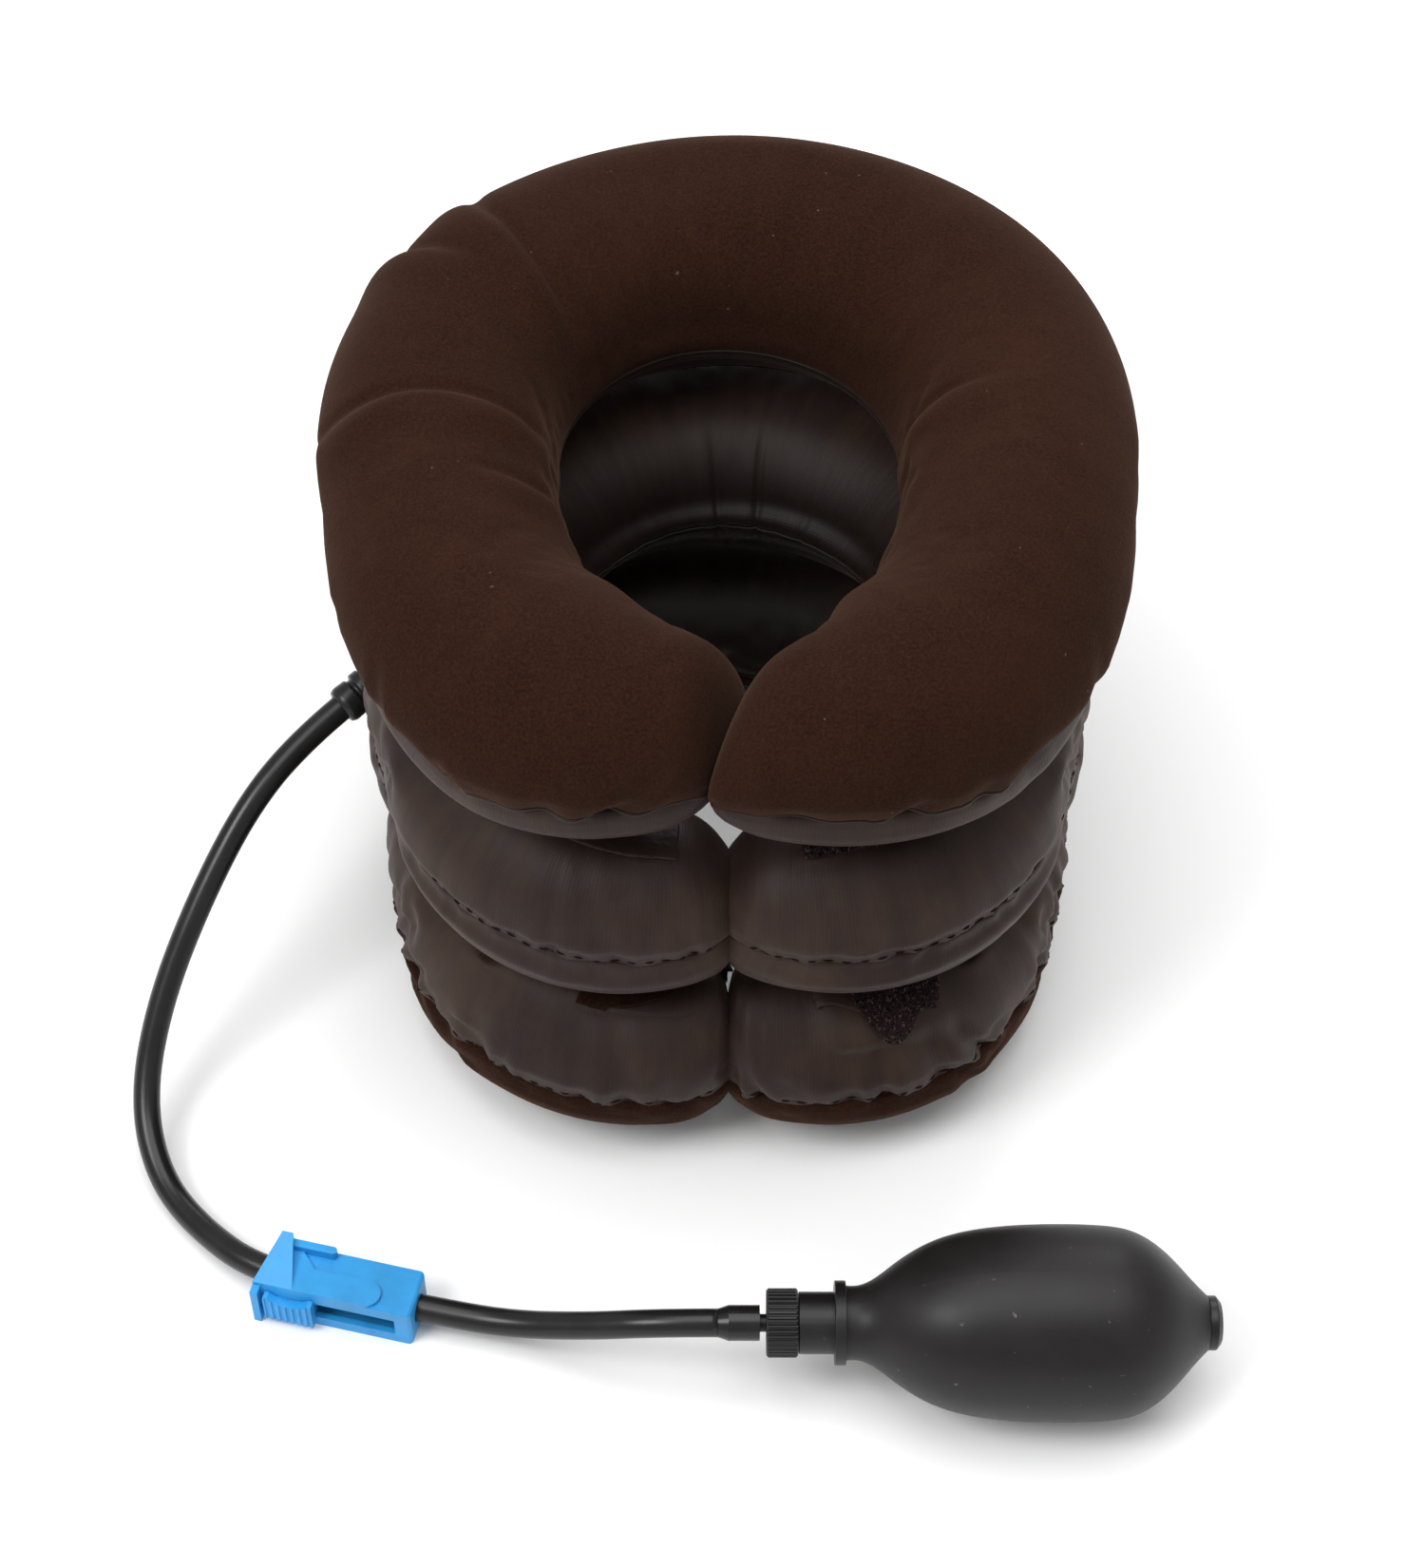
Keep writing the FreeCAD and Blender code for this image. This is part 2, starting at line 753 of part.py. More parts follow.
def cut_from(label, base, tool):
    item = doc.addObject("Part::Cut", label)
    item.Base = base
    item.Tool = tool
    item.Refine = True
    return item


def place_on_clamp(item):
    """Turn and move a piece from the clamp's own frame to where the clamp lies."""
    yaw = math.radians(mm("clamp_yaw"))
    across = Vector(-math.sin(yaw), math.cos(yaw), 0) * (mm("clamp_width") / 2)
    corner = Vector(mm("clamp_x"), mm("clamp_y"), 0) - across
    item.Placement = Placement(corner, Rotation(Vector(0, 0, 1), mm("clamp_yaw")))
    return keep(item)


def extruded(name, corners, base, rise):
    """A flat outline in the clamp's own frame raised from base by rise."""
    sketch = doc.addObject("Sketcher::SketchObject", f"{name}_outline")
    closed_outline(sketch, corners)
    item = doc.addObject("Part::Extrusion", name)
    item.Base = sketch
    item.DirMode = "Normal"
    item.Solid = True
    bind(item, LengthFwd=rise)
    item.setExpression("Placement.Base.z", as_size(base).text)
    return item


OVERSHOOT = 1.0
length, width, height = size("clamp_length"), size("clamp_width"), size("clamp_height")
wall, slant = size("clamp_wall"), size("clamp_slant")
sink = size("clamp_sink")
bar_radius, bar_rise = size("bar_radius"), size("bar_height") + sink
block = extruded(
    "clamp_block",
    [(0.0, 0.0), (length, 0.0), (length, width), (slant, width)],
    0.0,
    height,
)
doc.recompute()
rounded = doc.addObject("Part::Fillet", "clamp_rounded_block")
rounded.Base = block
far_edges = []
for index, edge in enumerate(block.Shape.Edges, start=1):
    if all(abs(vertex.Point.x - length.value) < 1e-6 for vertex in edge.Vertexes):
        far_edges.append((index, mm("clamp_edge"), mm("clamp_edge")))
rounded.Edges = far_edges

bar_turn = size("bar_end") - bar_radius
plateau = extruded(
    "clamp_plateau",
    [
        (0.0, 0.0),
        (bar_turn, 0.0),
        (bar_turn, bar_radius * 2.0),
        (size("plateau_elbow"), bar_radius * 2.0),
        (size("plateau_shoulder"), width),
        (slant, width),
    ],
    height - sink,
    bar_rise,
)
bar_tip = standing_cylinder(
    "clamp_bar_tip",
    (bar_turn, bar_radius, height - sink),
    bar_radius,
    bar_rise,
)
rib_turn = size("rib_length") - size("rib_width") * 0.5
rib = box(
    "clamp_rib",
    (slant, width - size("rib_width"), height - sink),
    (rib_turn - slant, size("rib_width"), size("rib_height") + sink),
)
rib_tip = standing_cylinder(
    "clamp_rib_tip",
    (rib_turn, width - size("rib_width") * 0.5, height - sink),
    size("rib_width") * 0.5,
    size("rib_height") + sink,
)
spur = doc.addObject("Part::Wedge", "clamp_spur")
bind(
    spur,
    Xmin=0.0,
    Xmax=size("spur_length"),
    Ymin=0.0,
    Ymax=width,
    Zmin=0.0,
    Zmax=bar_rise,
    X2min=slant,
    X2max=slant + size("spur_crest"),
    Z2min=0.0,
    Z2max=size("spur_height") + sink,
)
spur.setExpression("Placement.Base.z", (height - sink).text)
doc.recompute()
guard = box(
    "clamp_guard",
    (0.0, size("guard_reach") * -1.0, 0.0),
    (size("guard_width"), size("guard_reach") + OVERSHOOT, height),
)
clamp_solid = joined(
    "clamp_solid", [rounded, plateau, bar_tip, rib, rib_tip, spur, guard]
)

window_height = size("window_high") - size("window_low")
cavity = box(
    "clamp_cavity",
    (size("cavity_start"), wall, size("cavity_floor")),
    (
        length - size("cavity_start") - size("cavity_end"),
        width - wall * 2.0,
        height - size("cavity_floor") - size("cavity_roof"),
    ),
)
window = box(
    "clamp_window",
    (size("window_start"), -OVERSHOOT, size("window_low")),
    (size("window_end") - size("window_start"), wall + 2 * OVERSHOOT, window_height),
)
mouth_rail = size("mouth_rail")
mouth = box(
    "clamp_mouth",
    (-OVERSHOOT, wall + mouth_rail, size("mouth_floor")),
    (size("cavity_start") + 2 * OVERSHOOT, width - wall * 2.0 - mouth_rail, size("mouth_height")),
)
outlet = lying_cylinder(
    "clamp_outlet",
    (length - size("cavity_end") - OVERSHOOT, width * 0.5, size("clamp_bore_height")),
    size("tube_outer") + size("outlet_clearance"),
    size("cavity_end") + 2 * OVERSHOOT,
)
clamp_openings = joined("clamp_openings", [cavity, window, mouth, outlet])
place_on_clamp(cut_from("clamp_body", clamp_solid, clamp_openings))

# slider: a ribbed thumb pad outside, a web through the window and a jaw inside
slider_x, slider_long = size("slider_start"), size("slider_length")
pad_low, pad_high = size("slider_low"), size("slider_high")
thumb = box(
    "slider_thumb",
    (slider_x, (size("slider_depth") + size("slider_gap")) * -1.0, pad_low),
    (slider_long, size("slider_depth"), pad_high - pad_low),
)
inset, slack, slider_gap = size("slider_inset"), size("web_clearance"), size("slider_gap")
web = box(
    "slider_web",
    (slider_x + inset, slider_gap * -1.0 - slack, size("window_low") + slack),
    (slider_long - inset * 2.0, wall + (slider_gap + slack) * 2.0, window_height - slack * 2.0),
)
jaw = box(
    "slider_jaw",
    (slider_x + inset, wall + slider_gap, size("jaw_floor")),
    (slider_long - inset * 2.0, size("jaw_thickness"), size("jaw_height")),
)
slider_solid = joined("slider_solid", [thumb, web, jaw])
groove_count = int(mm("groove_count"))
depth = (size("slider_depth") + slider_gap) * -1.0
grooves = []
for i in range(groove_count):
    along = slider_x + slider_long * ((i + 0.5) / groove_count)
    groove = standing_cylinder(
        f"slider_groove_{i}",
        (along, depth, pad_low - OVERSHOOT),
        size("groove_radius"),
        pad_high - pad_low + 2 * OVERSHOOT,
    )
    grooves.append(groove)
scoop = doc.addObject("Part::Cylinder", "slider_scoop")
scoop.Placement.Rotation = Rotation(Vector(1, 0, 0), -90)
bind(scoop, Radius=size("scoop_radius"), Height=size("slider_depth"))
scoop_place = (
    slider_x + slider_long * 0.5,
    depth,
    pad_high + size("scoop_radius") - size("scoop_depth"),
)
for axis, distance in zip("xyz", scoop_place):
    scoop.setExpression(f"Placement.Base.{axis}", distance.text)
groove_tool = joined("slider_grooves", grooves + [scoop])
place_on_clamp(cut_from("clamp_slider", slider_solid, groove_tool))

# ---------------------------------------------------------------- pump

flare_end = size("flare_start") + size("flare_length")
flare_shoulder = size("flare_start") + size("flare_cone")
turned(
    "tube_flared_end",
    [
        (size("flare_start"), size("tube_bore")),
        (size("flare_start"), size("tube_outer")),
        (flare_shoulder, size("flare_radius")),
        (flare_end, size("flare_radius")),
        (flare_end, size("flare_bore")),
        (flare_shoulder, size("flare_bore")),
    ],
)

gap = size("stack_gap")
nut_end = size("nut_start") + size("nut_length")
shoulder = size("nut_start") + size("nut_wall")
slip_start = shoulder + gap
slip_end = slip_start + size("slip_thickness")
flange_start = slip_end + gap
flange_end = flange_start + size("nipple_flange_thickness")
washer_start = flange_end + gap
washer_end = washer_start + size("washer_thickness")
spigot_start = washer_end + gap
barb_start = flare_shoulder + size("barb_inset")

turned(
    "hose_nipple",
    [
        (barb_start, size("air_bore")),
        (barb_start, size("barb_radius")),
        (flare_end, size("barb_radius")),
        (flare_end, size("neck_radius")),
        (flange_start, size("neck_radius")),
        (flange_start, size("nipple_flange")),
        (flange_end, size("nipple_flange")),
        (flange_end, size("air_bore")),
    ],
)
turned(
    "slip_ring",
    [
        (slip_start, size("nut_bore")),
        (slip_start, size("nipple_flange")),
        (slip_end, size("nipple_flange")),
        (slip_end, size("nut_bore")),
    ],
)
turned(
    "seal_washer",
    [
        (washer_start, size("neck_radius")),
        (washer_start, size("nipple_flange")),
        (washer_end, size("nipple_flange")),
        (washer_end, size("neck_radius")),
    ],
)

# knurled nut: a cup with a polar pattern of grooves round it
chamfer = size("nut_chamfer")
nut = turned(
    "union_nut",
    [
        (size("nut_start"), size("nut_bore")),
        (size("nut_start"), size("nut_radius") - chamfer),
        (size("nut_start") + chamfer, size("nut_radius")),
        (nut_end - chamfer, size("nut_radius")),
        (nut_end, size("nut_radius") - chamfer),
        (nut_end, size("nut_cavity")),
        (shoulder, size("nut_cavity")),
        (shoulder, size("nut_bore")),
    ],
)
doc.recompute()
smooth_volume = nut.Shape.Volume
knurl_sketch = plane_sketch(nut, "YZ_Plane", "union_nut_knurl_outline")
knurl_circle = Part.Circle(Vector(mm("nut_radius"), 0, 0), Vector(0, 0, 1), mm("knurl_radius"))
knurl_sketch.addGeometry(knurl_circle, False)
knurl_sketch.addConstraint(Sketcher.Constraint("PointOnObject", 0, 3, -1))
for kind, geometry, value, alias in (
    ("DistanceX", (-1, 1, 0, 3), mm("nut_radius"), "nut_radius"),
    ("Radius", (0,), mm("knurl_radius"), "knurl_radius"),
):
    index = knurl_sketch.addConstraint(Sketcher.Constraint(kind, *geometry, value))
    knurl_sketch.setExpression(f"Constraints[{index}]", f"Sizes.{alias}")
knurl = nut.newObject("PartDesign::Pocket", "union_nut_knurl")
knurl.Profile = knurl_sketch
knurl.Type = 1
knurl.Midplane = True
pattern = nut.newObject("PartDesign::PolarPattern", "union_nut_knurls")
pattern.Originals = [knurl]
pattern.Axis = (knurl_sketch, ["N_Axis"])
pattern.Angle = 360.0
pattern.Occurrences = int(mm("knurl_count"))
nut.Tip = pattern

valve_end = size("valve_start") + size("valve_length")
rim_end = valve_end + size("rim_thickness")
tail_end = rim_end + size("tail_length")
chamber_end = rim_end + size("chamber_depth")
tail_chamfer = size("tail_chamfer")
turned(
    "valve_body",
    [
        (spigot_start, size("neck_radius")),
        (spigot_start, size("spigot_radius")),
        (size("valve_start"), size("spigot_radius")),
        (size("valve_start"), size("valve_radius")),
        (valve_end, size("valve_radius")),
        (valve_end, size("rim_radius")),
        (rim_end, size("rim_radius")),
        (rim_end, size("tail_radius")),
        (tail_end - tail_chamfer, size("tail_radius")),
        (tail_end, size("tail_radius") - tail_chamfer),
        (tail_end, size("air_bore")),
        (chamber_end, size("air_bore")),
        (chamber_end, size("chamber_radius")),
        (rim_end, size("chamber_radius")),
        (rim_end, size("neck_radius")),
    ],
)
disc_start = chamber_end - size("disc_thickness") - gap
turned(
    "outlet_check_disc",
    [
        (disc_start, 0.0),
        (disc_start, size("disc_radius")),
        (chamber_end - gap, size("disc_radius")),
        (chamber_end - gap, 0.0),
    ],
)


def bulb_profile(inset, start, end, neck, mouth):
    """The bulb's outline as (x, radius) curve points, moved inward by inset."""
    full = mm("bulb_radius") - inset
    span = end - start
    shape = [
        (0.0, neck),
        (0.035, neck),
        (0.13, neck + (full - neck) * 0.33),
        (0.263, neck + (full - neck) * 0.77),
        (0.37, neck + (full - neck) * 0.92),
        (0.56, full),
        (0.70, full - 0.3),
        (0.79, mouth + (full - mouth) * 0.91),
        (0.893, mouth + (full - mouth) * 0.57),
        (0.955, mouth + (full - mouth) * 0.23),
        (1.0, mouth),
    ]
    return [Vector(start + span * x, 0, radius) for x, radius in shape]


def bulb_shell():
    """A rubber bulb of even wall, open at the neck and at the intake hole."""
    start, end = rim_end.value, mm("bulb_end")
    wall_mm = mm("bulb_wall")
    outside = Part.BSplineCurve()
    outside.interpolate(bulb_profile(0.0, start, end, mm("bulb_neck_radius"), mm("intake_flange")))
    inside = Part.BSplineCurve()
    points = bulb_profile(wall_mm, start, end, mm("bulb_bore"), mm("intake_hole"))
    inside.interpolate(points)
    outside_edge, inside_edge = outside.toShape(), inside.toShape()
    ends = [
        Part.makeLine(outside.StartPoint, inside.StartPoint),
        Part.makeLine(outside.EndPoint, inside.EndPoint),
    ]
    outline = Part.Wire([outside_edge, ends[1], inside_edge, ends[0]])
    solid = Part.Face(outline).revolve(Vector(0, 0, 0), Vector(1, 0, 0), 360)
    solid.translate(Vector(0, pump_y, pump_z))
    neck_way = Part.makeCylinder(
        mm("tail_radius"), tail_end.value - start, Vector(start, pump_y, pump_z), Vector(1, 0, 0)
    )
    return solid.cut(neck_way)


bulb_solid = bulb_shell()
shape_part("bulb", bulb_solid.Solids[0])

intake_x = size("bulb_end")
intake_bore = size("intake_disc") + size("disc_clearance")
stem_start = intake_x - size("intake_stem")
seat = intake_x - size("intake_chamber")
intake_end = intake_x + size("intake_flange_thickness")
turned(
    "intake_valve",
    [
        (stem_start, intake_bore),
        (stem_start, size("intake_hole")),
        (intake_x, size("intake_hole")),
        (intake_x, size("intake_flange")),
        (intake_end - size("intake_slope_length"), size("intake_flange")),
        (intake_end, size("intake_flange") - size("intake_slope_height")),
        (intake_end, size("air_bore")),
        (seat, size("air_bore")),
        (seat, intake_bore),
    ],
)
turned(
    "intake_check_disc",
    [
        (seat - size("disc_thickness") - gap, 0.0),
        (seat - size("disc_thickness") - gap, size("intake_disc")),
        (seat - gap, size("intake_disc")),
        (seat - gap, 0.0),
    ],
)
retainer_end = stem_start + size("retainer_thickness")
turned(
    "intake_retainer",
    [
        (stem_start, size("air_bore")),
        (stem_start, intake_bore),
        (retainer_end, intake_bore),
        (retainer_end, size("air_bore")),
    ],
)

# ---------------------------------------------------------------- checks and files

doc.recompute()
for item in doc.Objects:
    if "Invalid" in item.State or "Error" in item.State:
        raise RuntimeError(f"{item.Label} failed: {item.State}")
if nut.Shape.Volume >= smooth_volume:
    raise RuntimeError("the knurl cuts nothing from the nut")
os.makedirs("parts", exist_ok=True)
for item in parts:
    shape = item.Shape
    if shape.isNull() or not shape.isValid() or shape.Volume <= 0:
        raise RuntimeError(f"{item.Label} has no valid solid")
    shape.exportStep(os.path.join("parts", f"{item.Label}.step"))
    print(item.Label, len(shape.Solids), round(shape.Volume, 1))
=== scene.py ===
"""Looks of the inflatable neck collar: fabric tiers, tube, clamp and hand bulb.

Metres, in the CAD model's frame: +Z up, the front split faces -Y.
"""

import json
import math

import bmesh
import bpy
import numpy as np
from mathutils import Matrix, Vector, noise
from mathutils.bvhtree import BVHTree


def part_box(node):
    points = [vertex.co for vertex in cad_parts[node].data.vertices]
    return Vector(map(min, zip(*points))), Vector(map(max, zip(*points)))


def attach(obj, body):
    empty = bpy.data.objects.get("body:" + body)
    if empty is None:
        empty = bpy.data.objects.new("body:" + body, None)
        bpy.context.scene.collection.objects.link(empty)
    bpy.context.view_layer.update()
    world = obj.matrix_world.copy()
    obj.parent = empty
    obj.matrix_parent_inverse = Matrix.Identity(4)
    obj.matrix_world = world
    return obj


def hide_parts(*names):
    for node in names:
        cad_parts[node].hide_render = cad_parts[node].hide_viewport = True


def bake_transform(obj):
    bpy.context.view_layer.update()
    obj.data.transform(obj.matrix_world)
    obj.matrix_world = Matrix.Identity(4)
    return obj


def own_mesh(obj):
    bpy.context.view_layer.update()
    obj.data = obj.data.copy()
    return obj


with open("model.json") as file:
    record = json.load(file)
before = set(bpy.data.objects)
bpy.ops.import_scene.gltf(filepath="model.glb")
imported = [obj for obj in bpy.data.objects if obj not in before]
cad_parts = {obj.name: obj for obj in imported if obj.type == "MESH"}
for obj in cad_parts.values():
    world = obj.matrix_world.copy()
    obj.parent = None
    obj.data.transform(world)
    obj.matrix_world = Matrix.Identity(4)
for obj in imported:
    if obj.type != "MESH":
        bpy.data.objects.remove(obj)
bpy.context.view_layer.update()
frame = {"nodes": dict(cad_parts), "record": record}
MM = 0.001


def placed(name, data):
    """A new object in the scene."""
    item = bpy.data.objects.new(name, data)
    bpy.context.scene.collection.objects.link(item)
    return item


# ---------------------------------------------------------------- camera, light, floor

VIEW_TARGET = Vector((-4.5, -30.8, 62.0)) * MM
VIEW_DISTANCE = 1.0
VIEW_ELEVATION = math.radians(50.0)
VIEW_LENS = 75.4


def add_camera():
    data = bpy.data.cameras.new("camera")
    data.lens = VIEW_LENS
    data.sensor_width = 36.0
    camera = placed("camera", data)
    back = Vector((0, -math.cos(VIEW_ELEVATION), math.sin(VIEW_ELEVATION)))
    camera.location = VIEW_TARGET + back * VIEW_DISTANCE
    camera.rotation_euler = (-back).to_track_quat("-Z", "Y").to_euler()
    bpy.context.scene.camera = camera


def add_light(name, place, width, power, target):
    data = bpy.data.lights.new(name, "AREA")
    data.shape = "DISK"
    data.size = width
    data.energy = power
    light = placed(name, data)
    light.location = place
    aim = Vector(target) - Vector(place)
    light.rotation_euler = aim.to_track_quat("-Z", "Y").to_euler()


def add_studio():
    bpy.context.scene.view_settings.view_transform = "Standard"
    world = bpy.data.worlds.new("studio")
    world.use_nodes = True
    background = world.node_tree.nodes["Background"]
    background.inputs["Color"].default_value = (1.0, 1.0, 1.0, 1.0)
    background.inputs["Strength"].default_value = 0.55
    bpy.context.scene.world = world
    middle = (0.0, -0.05, 0.05)
    add_light("overhead", (0.1, -0.1, 1.9), 1.7, 22.0, middle)
    add_light("key", (-0.75, -0.55, 1.15), 0.6, 9.0, middle)
    add_light("back", (0.25, 1.0, 0.9), 0.7, 5.0, (0.0, 0.0, 0.1))


# ---------------------------------------------------------------- material tools


class Nodes:
    """A short way to write a node material."""

    def __init__(self, name):
        self.material = bpy.data.materials.new(name)
        self.material.use_nodes = True
        self.tree = self.material.node_tree
        self.shader = self.tree.nodes["Principled BSDF"]
        self.place = self.add("ShaderNodeTexCoord").outputs["Object"]

    def add(self, kind, **settings):
        node = self.tree.nodes.new(kind)
        for key, value in settings.items():
            setattr(node, key, value)
        return node

    def link(self, source, socket):
        self.tree.links.new(source, socket)

    def feed(self, socket, value):
        """Connect a socket, or set its value."""
        if isinstance(value, bpy.types.NodeSocket):
            self.link(value, socket)
        else:
            socket.default_value = value

    def noise(self, scale, detail=3.0, roughness=0.55, vector=None, stretch=None):
        node = self.add("ShaderNodeTexNoise")
        node.inputs["Scale"].default_value = scale
        node.inputs["Detail"].default_value = detail
        node.inputs["Roughness"].default_value = roughness
        source = vector or self.place
        if stretch:
            mapping = self.add("ShaderNodeMapping")
            mapping.inputs["Scale"].default_value = stretch
            self.link(source, mapping.inputs["Vector"])
            source = mapping.outputs["Vector"]
        self.link(source, node.inputs["Vector"])
        return node.outputs["Fac"]

    def ramp(self, source, stops):
        node = self.add("ShaderNodeValToRGB")
        elements = node.color_ramp.elements
        while len(elements) < len(stops):
            elements.new(0.5)
        for element, (place, colour) in zip(elements, stops):
            element.position = place
            element.color = (*colour, 1.0) if len(colour) == 3 else colour
        self.link(source, node.inputs["Fac"])
        return node.outputs["Color"]

    def levels(self, source, low, high, out_low, out_high):
        node = self.add("ShaderNodeMapRange")
        node.clamp = True
        for name, value in zip(
            ("From Min", "From Max", "To Min", "To Max"), (low, high, out_low, out_high)
        ):
            node.inputs[name].default_value = value
        self.link(source, node.inputs["Value"])
        return node.outputs["Result"]

    def sum(self, first, second, operation="ADD"):
        node = self.add("ShaderNodeMath", operation=operation)
        self.feed(node.inputs[0], first)
        self.feed(node.inputs[1], second)
        return node.outputs[0]

    def mix(self, factor, first, second, blend="MIX"):
        node = self.add("ShaderNodeMix", data_type="RGBA", blend_type=blend)
        self.feed(node.inputs["Factor"], factor)
        self.feed(node.inputs["A"], first)
        self.feed(node.inputs["B"], second)
        return node.outputs["Result"]

    def bump(self, height, distance, strength=1.0):
        node = self.add("ShaderNodeBump")
        node.inputs["Strength"].default_value = strength
        node.inputs["Distance"].default_value = distance
        self.link(height, node.inputs["Height"])
        previous = self.shader.inputs["Normal"]
        if previous.is_linked:
            self.link(previous.links[0].from_socket, node.inputs["Normal"])
        self.link(node.outputs["Normal"], previous)

    def cloth_place(self):
        """Distance along and across the cloth, in metres, from its UV map."""
        return self.add("ShaderNodeUVMap", uv_map="weave").outputs["UV"]

    def set(self, **inputs):
        for name, value in inputs.items():
            socket = self.shader.inputs[name.replace("_", " ")]
            if isinstance(value, tuple) and len(value) == 3 and len(socket.default_value) == 4:
                value = (*value, 1.0)
            self.feed(socket, value)
        return self.material


def velour(name="velour", shade=1.0):
    """Short dense nap, dark brown, paler where it is brushed or turns away."""
    n = Nodes(name)
    cloth = n.cloth_place()
    broad = n.noise(13.0, 4.0)
    nap = n.noise(110.0, 5.0, 0.68, cloth, (1.0, 0.4, 1.0))
    grain = n.noise(1300.0, 2.0, 0.6)
    tone = n.sum(n.sum(broad, 0.6, "MULTIPLY"), n.sum(nap, 0.4, "MULTIPLY"))
    stops = [
        (0.34, (0.0135, 0.0043, 0.0029)),
        (0.50, (0.0185, 0.0061, 0.0039)),
        (0.66, (0.0250, 0.0092, 0.0054)),
    ]
    colour = n.ramp(tone, [(at, tuple(c * shade for c in rgb)) for at, rgb in stops])
    colour = n.mix(n.levels(grain, 0.35, 0.7, 0.0, 0.35), colour, (0.045, 0.023, 0.013, 1.0))
    specks = n.levels(n.noise(430.0, 1.0), 0.80, 0.82, 0.0, 0.4)
    colour = n.mix(specks, colour, (0.16, 0.13, 0.10, 1.0))
    n.bump(grain, 0.00025, 0.7)
    n.bump(nap, 0.0008, 0.35)
    return n.set(
        Base_Color=colour,
        Roughness=0.95,
        Sheen_Weight=0.095,
        Sheen_Roughness=0.42,
        Sheen_Tint=(0.76, 0.47, 0.32),
        Specular_IOR_Level=0.05,
    )


def nylon(name="nylon", shade=1.0):
    """Fine plain-woven nylon, dark purple brown, with a soft satin sheen, and painted shade that
    darkens it inside the ring's hole.
    """
    n = Nodes(name)
    cloth = n.cloth_place()
    broad = n.noise(17.0, 4.0, 0.6)
    streak = n.noise(75.0, 4.0, 0.6, cloth, (2.6, 0.35, 1.0))
    tone = n.sum(n.sum(broad, 0.6, "MULTIPLY"), n.sum(streak, 0.4, "MULTIPLY"))
    stops = [
        (0.36, (0.0190, 0.0106, 0.0086)),
        (0.50, (0.0275, 0.0155, 0.0122)),
        (0.64, (0.0420, 0.0240, 0.0165)),
    ]
    colour = n.ramp(tone, [(at, tuple(c * shade for c in rgb)) for at, rgb in stops])
    warp = n.add("ShaderNodeTexWave", bands_direction="X")
    weft = n.add("ShaderNodeTexWave", bands_direction="Y")
    for wave in (warp, weft):
        wave.inputs["Scale"].default_value = 420.0
        wave.inputs["Distortion"].default_value = 0.8
        wave.inputs["Detail"].default_value = 1.0
        n.link(cloth, wave.inputs["Vector"])
    weave = n.sum(warp.outputs["Fac"], weft.outputs["Fac"], "MULTIPLY")
    colour = n.mix(n.levels(weave, 0.0, 1.0, 0.0, 0.10), colour, (0.075, 0.054, 0.047, 1.0))
    # painted shade: nylon within about 52 to 72 mm of the ring's axis, inside the hole, is mixed
    # towards near-black for the shade there
    axis = n.add("ShaderNodeVectorMath", operation="LENGTH")
    level = n.add("ShaderNodeVectorMath", operation="MULTIPLY")
    level.inputs[1].default_value = (1.0, 1.0, 0.0)
    n.link(n.place, level.inputs[0])
    n.link(level.outputs["Vector"], axis.inputs[0])
    inside = n.levels(axis.outputs["Value"], 0.052, 0.072, 0.75, 0.0)
    colour = n.mix(inside, colour, (0.004, 0.0025, 0.0022, 1.0))
    n.bump(weave, 0.00010, 0.35)
    n.bump(streak, 0.0009, 0.30)
    rough = n.levels(broad, 0.3, 0.7, 0.44, 0.58)
    return n.set(
        Base_Color=colour,
        Roughness=rough,
        Sheen_Weight=0.06,
        Sheen_Roughness=0.4,
        Sheen_Tint=(0.90, 0.66, 0.56),
        Specular_IOR_Level=0.17,
    )


def thread():
    n = Nodes("thread")
    twist = n.noise(1500.0, 2.0)
    colour = n.ramp(twist, [(0.3, (0.003, 0.0015, 0.001)), (0.7, (0.010, 0.005, 0.004))])
    n.bump(twist, 0.0002, 0.6)
    return n.set(Base_Color=colour, Roughness=0.75, Specular_IOR_Level=0.15)


def fuzzy():
    """The ground of hook-and-loop tape, under its loops."""
    n = Nodes("fuzzy_tape")
    cells = n.add("ShaderNodeTexVoronoi")
    cells.inputs["Scale"].default_value = 900.0
    n.link(n.place, cells.inputs["Vector"])
    tufts = n.noise(700.0, 4.0, 0.75)
    colour = n.ramp(
        tufts,
        [(0.35, (0.006, 0.003, 0.003)), (0.55, (0.018, 0.010, 0.010)),
         (0.75, (0.05, 0.03, 0.028))],
    )
    n.bump(cells.outputs["Distance"], 0.0005, 0.8)
    n.bump(tufts, 0.0007, 0.8)
    return n.set(Base_Color=colour, Roughness=0.9, Specular_IOR_Level=0.1)


def loop_fibre():
    """The shiny fibres of the looped pile; some get a much paler colour, a painted highlight for
    fibres that catch the light.
    """
    n = Nodes("loop_fibre")
    tone_and_glint = n.noise(600.0, 2.0, 0.7)
    # painted highlight: the palest stop stands for fibres catching the light; the two darker stops
    # are random tone
    colour = n.ramp(
        tone_and_glint,
        [(0.38, (0.014, 0.007, 0.007)), (0.52, (0.045, 0.025, 0.024)),
         (0.66, (0.19, 0.13, 0.12))],
    )
    return n.set(Base_Color=colour, Roughness=0.42, Specular_IOR_Level=0.35)


